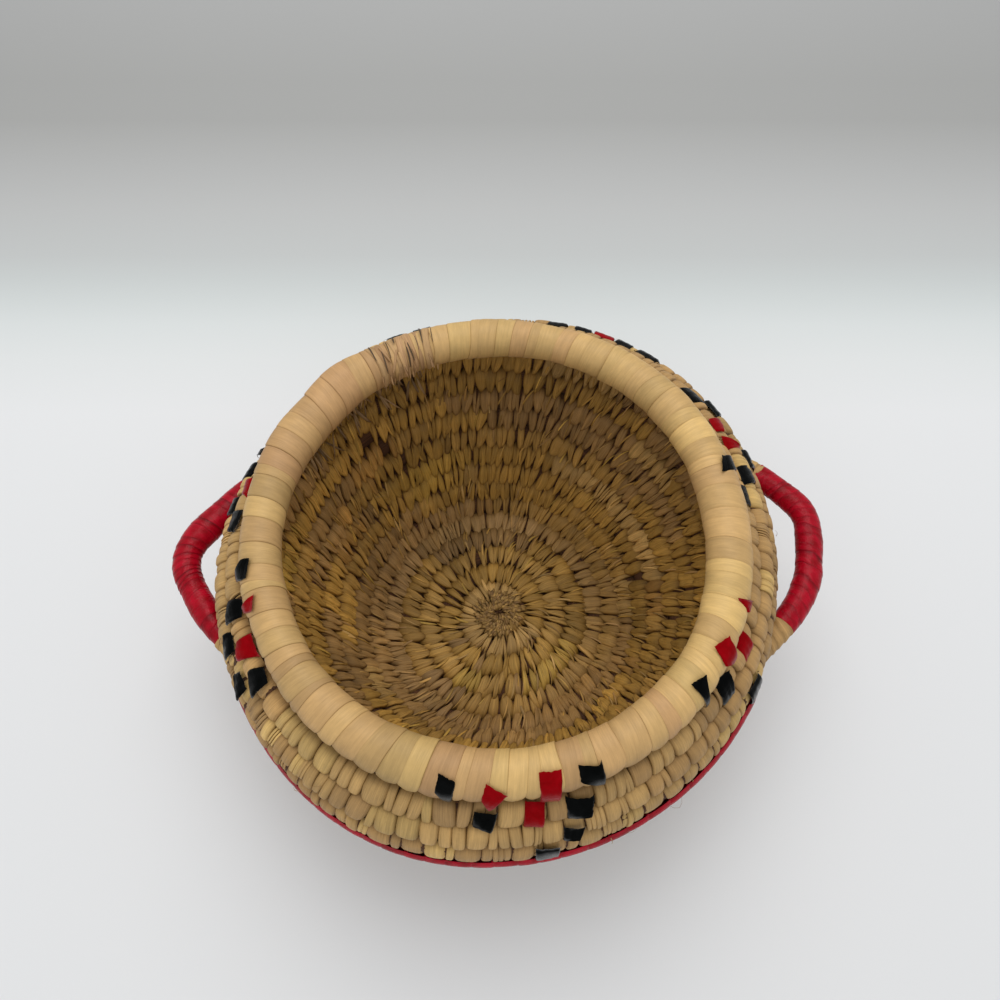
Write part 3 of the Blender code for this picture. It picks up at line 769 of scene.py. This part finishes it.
def make_rim():
    """The leaf strips lapped round the rim, each edge lying over the next strip."""
    share = uniform(0.62, 1.3, RIM_STRIPS)
    share[RNG.random(RIM_STRIPS) < 0.14] *= 0.5
    edges = np.append(0, np.cumsum(share)) / share.sum() * tau
    middle, wide = middles(edges)
    half = by_strip(wide / 2 + 0.001 / RIM_RADIUS) * LAP_ACROSS
    rows = 52
    angle = linspace(radians(-66), radians(300), rows)[:, None]
    each = RIM_STRIPS, 1, 1
    lean = normal(0.0015, 0.0004, each) / RIM_RADIUS
    sway = normal(0, 0.00025, each) / RIM_RADIUS
    # the strips draw in and sink where they pass through the row below
    ends = clip((radians(46) - angle) / radians(58), 0, 1) ** 1.7
    ends += ramp_up(angle, radians(206), radians(50)) ** 1.3
    azimuth = by_strip(middle) + half * (1 - 0.5 * ends)
    azimuth = azimuth + lean * (angle - pi / 2) / (pi / 2) + sway * sin(2 * angle)
    lift = normal(0, 0.00008, each)
    bulge = 0.0003 * sin(3 * azimuth + 1) + 0.00022 * sin(7 * azimuth + 2)
    bulge = bulge + 0.00014 * sin(13 * azimuth) + 0.00008 * sin(31 * azimuth + 2 * angle)
    sink = 0.0012 * ends * (0.25 + 0.75 * LAP_ACROSS**2)
    thickness = RIM_THICKNESS - 0.0002 + LAP_RISE + lift + bulge + rim_bulge(azimuth, angle) - sink
    points = rim_points(azimuth, angle, thickness * rim_flat(angle))
    number = by_strip(arange(RIM_STRIPS) * 5.17 % 89)
    grain = vectors(half * RIM_RADIUS * 1000, angle * RIM_THICKNESS * 1000, number)
    pale = interp(middle, PALE_AT, PALE) + normal(0, 0.18, RIM_STRIPS)
    pale = clip(pale, 0, 1)[:, None]
    colours = RIM_YELLOW * pale + RIM_PINK * (1 - pale)
    # painted shade: the rim darker at the front and on the left, a little lighter at the right
    side = 1 + facing(middle, (-0.06, 262, 3), (0.02, 10, 2), (-0.07, 185, 3))
    colours *= (side * (1 + normal(0, 0.085, RIM_STRIPS)))[:, None]
    # painted shade where the strips sink into the row below, and at their lapped seams
    tints = shaded(colours, points, LAP_SHADE, 1 - 0.5 * clip(ends[:, 0], 0, 1))
    shown = warp(points), grain, tints
    return new_piece("rim_strips", "rim_leaf", RIM_LEAF, *shown, flip=True)


SPLICE_AZIMUTH = radians(117)
SPLICE_LEAVES = [
    (0.47, 0.275, 0.128, 0.4), (0.53, 0.325, 0.145, 0.35), (0.42, 0.24, 0.108, 0.25)
]
# SPLICE_SHADE: painted shade at the sides of each splice strip
SPLICE_SHADE = [0.38, 0.8, 1, 1, 1, 1, 1, 0.8, 0.38]


def drawn(*ranges):
    """Draws evenly from each range: low, high and how many."""
    return np.concatenate([uniform(low, high, many) for low, high, many in ranges])


def make_splice():
    """The rough binding over the rim's splice: broad folded strips, torn ends and dark slits, thin
    sheets of painted shadow in the gaps between strips.
    """
    rows, columns = 44, len(SPLICE_SHADE)
    cross = linspace(-1, 1, columns)
    wide, short, ends, shadow_slits = 7, 5, 16, 9
    count = wide + short + ends + shadow_slits
    number = by_strip(arange(count))
    each = number.shape
    shadow_slit = number >= count - shadow_slits
    loose = (number >= wide + short) & ~shadow_slit
    full = number < wide
    place = np.concatenate([
        linspace(-0.0118, 0.0118, wide) + normal(0, 0.0004, wide),
        drawn((-0.01, 0.01, short), (-0.0135, 0.0135, ends)),
        linspace(-0.0138, 0.0122, shadow_slits) + normal(0, 0.0006, shadow_slits),
    ])
    half = by_strip(drawn(
        (0.0019, 0.0027, wide), (0.001, 0.0017, short), (0.0003, 0.0009, ends),
        (0.00018, 0.00042, shadow_slits),
    ))
    start = drawn((70, 120, short), (135, 185, ends), (30, 110, shadow_slits))
    first = np.concatenate([normal(-48, 5, wide), start])
    last = normal(232, 10, wide)
    last = np.append(last, start + drawn((50, 85, short), (20, 48, ends), (30, 75, shadow_slits)))
    rise = where(full, uniform(0.0001, 0.0006, each), uniform(0.0006, 0.001, each))
    rise += 0.0003 * shadow_slit
    peel = loose * uniform(0.0002, 0.0018, each)
    wave = uniform(0, tau, (4, *each))
    v = linspace(0, 1, rows)[:, None]
    angle = by_strip(np.radians(first)) + by_strip(np.radians(last - first)) * v
    slant = normal(0.0012, 0.0007, each)
    slant += (~full & ~shadow_slit) * normal(0, 0.0022, each)
    narrow = 0.88 + 0.12 * sin(1.7 * angle + wave[1])
    narrow *= where(full, 1, sin(pi * (0.1 + 0.82 * v)) ** 0.6)
    narrow *= 1 - 0.3 * ramp_up(angle, radians(150), radians(50))
    along = by_strip(place) + slant * (angle - 1.6) / 1.6 + 0.0004 * sin(2.2 * angle + wave[0])
    azimuth = SPLICE_AZIMUTH + (along + half * narrow * cross) / RIM_RADIUS
    fold = 0.00012 * sin(3.2 * angle + wave[2]) + rim_bulge(azimuth[:, :, 4:5], angle)
    ridge = 0.0002 * sin(3 * cross + wave[3] + angle) - 0.0009 * np.abs(cross) ** 4
    raised = rise * clip((angle - radians(20)) / radians(50), 0.25, 1)
    thickness = RIM_THICKNESS + raised + fold + peel * v**2 + (~loose & ~shadow_slit) * ridge
    points = warp(rim_points(azimuth, angle, thickness * rim_flat(angle)))
    grain = vectors(half * cross * 1000, angle * RIM_THICKNESS * 1000, number * 4.7)
    colours = run_colours(count, SPLICE_LEAVES, 1, 0.05)
    # the slits are thin dark sheets: painted shadow in the gaps between the strips
    colours = where(shadow_slit[:, 0], colours * 0.2, colours)
    tints = shaded(colours, points, SPLICE_SHADE)
    return new_piece("rim_splice", "splice_leaf", OUTER_LEAF, points, grain, tints, flip=True)


# The plastic strips: rows counted down from the rim, 0 for the rim, and their azimuths
BLACK_PATCHES = {
    0: (18, 189, 260, 290, 320),
    1: (10, 39, 176, 197, 214, 268, 286, 324),
    2: (16, 35, 54, 60, 70, 76, 108, 114, 156, 162, 171, 203, 210, 284),
    3: (21, 279, 330),
}
RED_PATCHES = {
    0: (198, 270, 281, 330, 344),
    1: (26, 32, 158, 168, 206, 277, 334),
    2: (65,),
}
# Strips of their own form, by number: how far along the row (0.1 mm), at what percent of the way
# up and, if not on the row, how far off it (0.1 mm) their low, next low, next high and high
# corners lie, and by what percent the high corners run on, if they do
BLACK_CORNERS = {
    1: ((-59, 10, 1), (6, 13, 4), (-19, 94, 2), (-92, 105)),
    2: ((12, 80, 2), (65, 11, 1), (95, 87, 1), (21, 99, 1)),
    3: ((-31, 55), (23, 9), (32, 85, 1), (-27, 94)),
    4: ((-58, 60), (20, 21, 2), (22, 80), (-55, 96), 0, 20),
    5: ((-51, -5, 1), (-32, 67), (9, 91, 1), (-58, 104, 1)),
    8: ((-51, 25, 3), (43, 21, 12), (60, 63), (-34, 85)),
    9: ((-46, 43, 1), (39, 13, 14), (50, 91), (-11, 116)),
    10: ((-64, 45, 1), (27, 12, 21), (27, 87), (-23, 113)),
    11: ((-46, 27), (20, 12, 18), (40, 64), (-39, 70), 2, 10),
    12: ((-54, 12, 2), (26, 12, 30), (48, 60, 1), (-48, 80), 12, 14),
    13: ((-55, 8, 2), (12, 13, 10), (50, 76), (-30, 120)),
    22: ((1, 68), (29, 3, 2), (53, 122), (-31, 109)),
    25: ((-61, 50, 1), (27, 12, 2), (26, 80), (-47, 94, 1)),
    26: ((-35, 40, 1), (55, 12, 17), (49, 67), (-23, 71)),
    27: ((-43, 13, 4), (12, 12, 26), (40, 40), (-34, 59), 0, 10),
    29: ((-45, 2), (37, 25, 2), (44, 75), (-44, 89), 3, 0),
}
RED_CORNERS = {
    1: ((21, 73), (32, 1), (76, 85), (17, 100, 2)),
    2: ((-47, 47), (-21, 19, 17), (37, 61), (-34, 86)),
    3: ((-45, 2), (17, 19, 7), (33, 95), (-40, 101), 0, 3),
    4: ((-81, 60), (-24, 20, 3), (12, 88), (-56, 106)),
    5: ((-89, 50), (-22, -5), (-34, 34), (-72, 93)),
    6: ((-56, -3), (-41, 23, 14), (11, 76), (-70, 106)),
    7: ((-85, 50), (-5, 5), (-10, 85), (-70, 100)),
    8: ((-32, 56, 1), (7, 3), (40, 85), (-38, 82)),
    9: ((-47, 25, 4), (14, 12), (67, 95), (-37, 122)),
    10: ((-43, 44, 1), (21, 13, 12), (73, 115), (-35, 115), 6, 8),
    11: ((-41, -3), (27, 13, 17), (41, 86), (-26, 99)),
    12: ((-53, 1, 1), (24, 13, 7), (43, 96, 1), (-31, 111)),
}
ROW_PATCH = array([
    (3.2, -6), (4.9, -5), (5.5, -3.4), (5.75, -1.4), (5.8, 0.6), (5.5, 2.6), (4.7, 4.2),
    (4, 5.2), (3.6, 6.2),
]) / 1000


def level_turn(level, azimuth):
    """Returns the coil's turn number at an azimuth, some rows down from the rim."""
    part_turn = ((azimuth - START_AZIMUTH) / tau) % 1
    top = COIL_TURNS + part_turn if part_turn < TOP_ROW_END else COIL_TURNS - 1 + part_turn
    return top - (level - 1)


def make_patch(name, level, azimuth, form, slot, material):
    """One short plastic strip over a row or over the rim, cut ragged and lifted at its end."""
    chance = normal(0, 1, 7)
    wide, skew, turned = 4.3 * (1 + 0.08 * chance[0]), 0.8 * chance[1], 0.06 * chance[2]
    corners = (
        (-wide - skew, 0.02 - turned, 0), (wide - skew, 0.02 + turned, 0),
        (wide + skew, 0.98 + turned, 0), (-wide + skew, 0.98 - turned, 0),
    )
    barbs = (3, 4)
    if form:
        corners = array([(*corner, 0)[:3] for corner in form[:4]]) / (10, 100, 10)
        barbs = form[4:] or (0, 0)
    size = 17
    u = linspace(-1, 1, size)
    v = linspace(0, 1, size)[:, None]
    jag = np.convolve(normal(0, 1, size + 2), [0.25, 0.5, 0.25], "valid")
    low, high = (barb / 100 * ramp_up(way, 0.62, 0.38) ** 1.4 for barb, way in zip(barbs, (-u, u)))
    rise = v * (1 + 0.014 * jag + (low + high))
    side = (u * (1 + 0.03 * jag[:, None] * np.abs(u)) + 1) / 2
    weights = (1 - side) * (1 - rise), side * (1 - rise), side * rise, (1 - side) * rise
    along, run, off = (sum(w * c[k] for w, c in zip(weights, corners)) for k in range(3))
    wave = 0.00012 * sin(5 * v + 2.2 * u + 6 * chance[3])
    wave = (wave + 0.00006 * sin(9 * u + 4 * chance[4])) * (1 if level else 0.5)
    flap = 0.0004 * ramp_up(v, 0.8, 0.2) ** 1.5 * (0.4 + min(1.6, abs(chance[5])))
    fall = ramp_up(np.abs(u), 0.88, 0.12) ** 1.5 * (0.0006 - flap)
    lift = wave + flap - fall + off / 1000
    if level:
        turn = level_turn(level, azimuth)
        past = 0.008 * (np.minimum(run, 0) + maximum(run - 1, 0))
        depth, place = between(run, ROW_PATCH[:, 0]) + lift, between(run, ROW_PATCH[:, 1]) + past
        points = coil_points(turn + along / 1000 / way_round(turn), depth, place)
    else:
        angle = radians(-26) + radians(110) * run
        place = azimuth + along / 1000 / RIM_RADIUS
        thickness = (RIM_THICKNESS + 0.00072) * rim_flat(angle) + lift + rim_bulge(place, angle)
        thickness -= 0.001 * clip((0.15 - run) / 0.3, 0, 1) * (off < 0.2)
        points = rim_points(place, angle, thickness)
    number = (17 * abs(chance[6]) + 3 * azimuth) % 71
    grain = vectors(along, run * (11.8 if level else 16.5), number)
    piece = new_piece(name + "_strip", slot, material, warp(points), grain)
    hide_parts(name)


def make_patches():
    """All the short plastic strips."""
    sets = (
        ("black", BLACK_PATCHES, BLACK_CORNERS, "black_plastic", BLACK),
        ("red", RED_PATCHES, RED_CORNERS, "crimson_plastic", CRIMSON_FLAT),
    )
    for stem, table, forms, *look in sets:
        for number, place in enumerate(places(table), 1):
            make_patch(f"{stem}_stitch_{number:02d}", *place, forms.get(number), *look)


# The handles' ways from the rear foot to the front one: out of the seat and along it, in mm
LEFT_ROUTE = (
    (-14, 47.5), (-1.5, 35.5), (12.9, 18.5), (18.5, 8.5), (19, 0),
    (15, -9.5), (2, -28.5), (-14, -44),
)
RIGHT_ROUTE = (
    (-14, 56), (3, 45), (16.8, 31.8), (21.6, 23.5), (21.9, 14),
    (20.5, 4.3), (17, -7.9), (6.5, -23.7), (-14, -44),
)
TUBE_SIDES = 40
TUBE_ANGLE = arange(TUBE_SIDES) * tau / TUBE_SIDES
UP = array([0, 0, 1])


def handle_run(side, route, step):
    """Returns places along a handle's middle, the way across it, and the distances."""
    seat, height = HANDLE_SEAT
    knots = [(side * (seat + out / 1000), along / 1000, height) for out, along in route]
    knots = array(knots)
    knots = stack([2 * knots[0] - knots[1], *knots, 2 * knots[-1] - knots[-2]])
    # a smooth curve through the knots, in small steps
    a, b, c, d = (knots[k : len(knots) - 3 + k, None] for k in range(4))
    t = linspace(0, 1, 24, endpoint=False)[:, None]
    square, cube = 2 * a - 5 * b + 4 * c - d, 3 * b - a - 3 * c + d
    curve = b + (c - a) * (t / 2) + square * (t * t / 2) + cube * (t**3 / 2)
    rough = np.append(curve.reshape(-1, 3), knots[-2:-1], axis=0)
    length = np.append(0, np.cumsum(np.linalg.norm(np.diff(rough, axis=0), axis=1)))
    s = linspace(0, length[-1], int(length[-1] / step))
    middle = stack([interp(s, length, line) for line in rough.T], -1)
    across = np.cross(np.gradient(middle, axis=0), UP)
    across /= np.linalg.norm(across, axis=1)[:, None]
    return middle, across, s


def tube(middle, across, thick):
    """Returns rings of points round a run that stays level."""
    level = across[:, None] * (thick * cos(TUBE_ANGLE))[..., None]
    return middle[:, None] + level + UP * (thick * sin(TUBE_ANGLE))[..., None]


def laps_at(place, edges, rise):
    """Returns each place's lap number and how far it stands out: a slope, then a step down."""
    index = clip(np.searchsorted(edges, place) - 1, 0, len(edges) - 2)
    phase = (place - edges[index]) / (edges[index + 1] - edges[index])
    return index, rise[index] * (where(phase < 0.88, phase / 0.88, (1 - phase) / 0.12) - 0.5)


def make_handle(name, side, route, radius, foot, taper, fat):
    """A handle wound with a plastic strip: a tube with laps that rise and drop."""
    middle, across, s = handle_run(side, route, 0.00024)
    rear, front = (s[np.argmin(np.abs(middle[:, 1] - place))] for place in (0.046, foot))
    edges = [-0.01]
    while edges[-1] < s[-1] + 0.01:
        even = edges[-1] > front - 0.026
        edges.append(edges[-1] + uniform(*((0.0046, 0.007) if even else (0.0022, 0.0064))))
    edges = array(edges)
    rise = 0.00022 * uniform(0.15, 1.4, len(edges)) ** 1.5
    turn = TUBE_ANGLE
    s = s[:, None]
    place = s + side * 0.0017 * cos(turn) + 0.0006 * sin(turn + 0.8)
    place += 0.00035 * sin(s * 700 + 2 * turn)
    index, lap = laps_at(place, edges, rise)
    lumps = 0.00012 * sin(s * 310 + 1.3) + 0.0002 * sin(s * 120 + turn)
    lumps += 0.00004 * sin(place * 5200) * clip(sin(s * 95 + 1), 0, 1)
    lumps += fat * hump(middle[:, 1:2], 0.018, 0.014)
    thin = 1 - taper * ramp_up(s, front - 0.016, 0.016) ** 1.5
    thick = (radius * thin + lap + lumps) * (1 + 0.035 * cos(2 * turn))
    # the ends close under the leaf bindings
    shut = ramp_up(s, rear, 0.0012) * clip((front - s) / 0.0012, 0, 1)
    thick *= 0.25 + 0.75 * np.sqrt(shut)
    keep = (s[:, 0] > rear - 0.0004) & (s[:, 0] < front + 0.0004)
    points = tube(middle, across, thick)[keep]
    grain = vectors(turn * 5.5, place * 1000, index * 3.7 % 61)[keep]
    tints = (1 + normal(0, 0.05, len(edges)))[index]
    # painted shade at the low step of each lap
    tints *= clip(1 + lap / 0.00011 * 0.36, 0.5, 1)
    tints = np.repeat(tints[keep].ravel(), 3)
    return new_piece(name, "crimson_plastic", CRIMSON, points, grain, tints, flip=True, wrap=True)


def make_bindings(name, side, route, radius, foot):
    """The leaf wound over both feet of a handle."""
    middle, across, s = handle_run(side, route, 0.0003)
    rear, front = (np.argmin(np.abs(middle[:, 1] - foot_at)) for foot_at in (0.0445, foot))
    size, lap_length = 52, 0.0042
    feet = ((0, rear, 0.9, 1), (front - 4, len(s) - 1, 1, 0.82))
    points, grains, tints = [], [], []
    for start, end, first, last in feet:
        run = linspace(start, end, size).astype(int)
        edges = arange(-0.004, s[-1] + 0.01, lap_length)
        edges += normal(0, 0.0003, int((s[-1] + 0.014) / lap_length) + 1)[: len(edges)]
        rise = 0.0004 * uniform(0.5, 1.4, len(edges))
        turn = TUBE_ANGLE
        place = s[run][:, None] + side * 0.0016 * cos(turn) + 0.0003 * sin(3 * turn)
        index, lap = laps_at(place, edges, rise)
        thick = radius * linspace(first, last, size)[:, None] + lap
        points.append(tube(middle[run], across[run], thick))
        grains.append(vectors(place * 1000, turn * 5, index * 5.1 % 53))
        colours = run_colours(len(edges), OUTER_LEAVES, 1.5, 0.05)
        # painted shade at the low step of each lap
        tints.append(colours[index] * clip(1 + lap / 0.0004 * 0.5, 0.62, 1)[..., None])
    shown = stack(points), stack(grains), stack(tints)
    return new_piece(name, "palm_leaf", OUTER_LEAF, *shown, flip=True, wrap=True)


FIBRE_LEAVES = [(0.42, 0.28, 0.12, 0.4), (0.3, 0.17, 0.07, 0.35), (0.16, 0.07, 0.04, 0.25)]


def make_fibres():
    """Loose hairs of leaf at the rim's inner edge, in the bowl and outside."""
    sides, rows = 4, 7
    t = linspace(0, 1, rows)[:, None]
    lines, radii = [], []
    for number in range(90):
        if number < 46:
            azimuth = radians(uniform(95, 150)) if number < 26 else uniform(0, tau)
            turn = level_turn(1, azimuth) - uniform(-0.1, 0.9)
        else:
            turn = uniform(2.5, 16.5) if number < 74 else uniform(14.8, 17.8)
        centre, out, up, _ = coil_frame(array(turn))
        face = -out if number < 74 else out
        start = centre + face * 0.0049 + up * uniform(-0.004, 0.004)
        heading = np.cross(up, out) * normal(0, 1) + up * normal(0, 1)
        heading /= np.linalg.norm(heading)
        length = uniform(0.0025, 0.0065)
        curl = normal(0, 0.5)
        line = start + heading * length * t + face * (0.0007 * sin(pi * t) + 0.0004)
        lines.append(line + np.cross(heading, face) * curl * length * t**2 * 0.5)
        radii.append(uniform(0.00008, 0.00017))
    # one long hair at the lower right of the belly
    line = (0.062, -0.098, 0.078) + t * (0.011, 0.006, -0.006)
    lines.append(line + sin(pi * t) * (0.004, -0.006, 0))
    radii.append(0.00009)
    way = np.gradient(stack(lines), axis=1)
    one = np.cross(way, [0.31, 0.52, 0.79])
    one /= np.linalg.norm(one, axis=2)[..., None]
    two = np.cross(way, one) / np.linalg.norm(way, axis=2)[..., None]
    angle = arange(sides)[:, None] * tau / sides
    ring = one[:, :, None] * cos(angle) + two[:, :, None] * sin(angle)
    thick = array(radii)[:, None] * linspace(1, 0.35, rows)
    points = stack(lines)[:, :, None] + ring * thick[..., None, None]
    colours = run_colours(len(lines), FIBRE_LEAVES, 1, 0.1)
    tints = np.broadcast_to(colours[:, None, None], points.shape)
    shown = warp(points), points * 1000, tints
    new_piece("loose_fibres", "palm_leaf", OUTER_LEAF, *shown, wrap=True)


bundle = make_bundle()
make_inner_stitches()
make_slivers()
make_centre()
make_centre_bed()
make_outer_stitches()
crimson_row = make_red_row()
rim = make_rim()
splice = make_splice()
make_rim_bundle()
make_patches()
left = make_handle("left_handle", -1, LEFT_ROUTE, 0.0055, -0.0345, 0.34, 0.0009)
right = make_handle("right_handle", 1, RIGHT_ROUTE, 0.0056, -0.0285, 0.1, 0)
left_feet = make_bindings("left_bindings", -1, LEFT_ROUTE, 0.0046, -0.0345)
right_feet = make_bindings("right_bindings", 1, RIGHT_ROUTE, 0.0054, -0.0285)
make_fibres()
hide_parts("wall_coil")
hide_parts("rim_core", "rim_wrap")
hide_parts("rim_splice_binding")
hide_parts("red_band")
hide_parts("left_handle_core", "left_handle_wrap")
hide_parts("left_rear_binding", "left_front_binding")
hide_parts("right_handle_core", "right_handle_wrap")
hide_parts("right_rear_binding", "right_front_binding")

# Floor: pale and even under the basket, greyer further behind as painted shade of the light falling
# off there
FLOOR_HALF = 3
FLOOR_NEAR, FLOOR_FAR = 0.13, 0.55
FLOOR_TONES = (
    (0.17, (0.7, 0.72, 0.722)), (0.198, (0.65, 0.68, 0.68)), (0.219, (0.59, 0.622, 0.62)),
    (0.238, (0.54, 0.568, 0.566)), (0.258, (0.503, 0.52, 0.518)), (0.301, (0.469, 0.476, 0.474)),
    (0.347, (0.415, 0.419, 0.416)), (0.369, (0.39, 0.393, 0.388)), (0.397, (0.357, 0.359, 0.353)),
    (0.444, (0.354, 0.356, 0.35)),
)
floor_mesh = bpy.data.meshes.new("floor")
corners = ((-1, -1), (1, -1), (1, 1), (-1, 1))
corners = [(FLOOR_HALF * x, FLOOR_HALF * y, 0) for x, y in corners]
floor_mesh.from_pydata(corners, [], [(0, 1, 2, 3)])
floor = add_object("floor", floor_mesh)
floor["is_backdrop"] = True
n = Nodes("pale_floor")
place = n.add("ShaderNodeNewGeometry").outputs["Position"]
back = n.add("ShaderNodeSeparateXYZ", [place]).outputs[1]
ramp = n.add("ShaderNodeValToRGB", [n.spread(back, FLOOR_NEAR, FLOOR_FAR)])
stops = ramp.color_ramp.elements
stops[0].color, stops[1].color = (0.742, 0.752, 0.762, 1), (0.385, 0.388, 0.386, 1)
for far, tone in FLOOR_TONES:
    stops.new((far - FLOOR_NEAR) / (FLOOR_FAR - FLOOR_NEAR)).color = (*tone, 1)
n.shade(Base_Color=ramp.outputs["Color"], Roughness=0.85, Specular_IOR_Level=0.2)
floor_mesh.materials.append(n.material)

world = bpy.data.worlds.new("soft_room")
bpy.context.scene.world = world
world.use_nodes = True
colour, strength = world.node_tree.nodes["Background"].inputs[:2]
colour.default_value = (0.98, 0.99, 1, 1)
strength.default_value = 0.69


def add_lamp(name, place, size, power, colour):
    """A square soft lamp that looks at the basket."""
    data = bpy.data.lights.new(name, "AREA")
    data.size = size
    data.energy = power
    data.color = colour
    lamp = add_object(name, data)
    lamp.location = place
    aim = Vector((0, 0, 0.05)) - Vector(place)
    lamp.rotation_euler = aim.to_track_quat("-Z", "Y").to_euler()


add_lamp("key_lamp", (0, 0.46, 1.12), 0.9, 6.8, (1, 0.99, 0.97))
add_lamp("fill_lamp", (-0.3, -0.8, 0.9), 0.9, 1.2, (1, 1, 1))

camera_data = bpy.data.cameras.new("camera")
camera_data.lens = 27
camera_data.sensor_width = 36
camera_data.clip_start = 0.01
camera = add_object("camera", camera_data)
camera.location = (0.0011, -0.1218, 0.3863)
camera.rotation_euler = (radians(26.45), 0, 0)
bpy.context.scene.camera = camera
bpy.context.scene.view_settings.view_transform = "Standard"

corners = {"cad": CAD_BOX, "visual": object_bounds()}
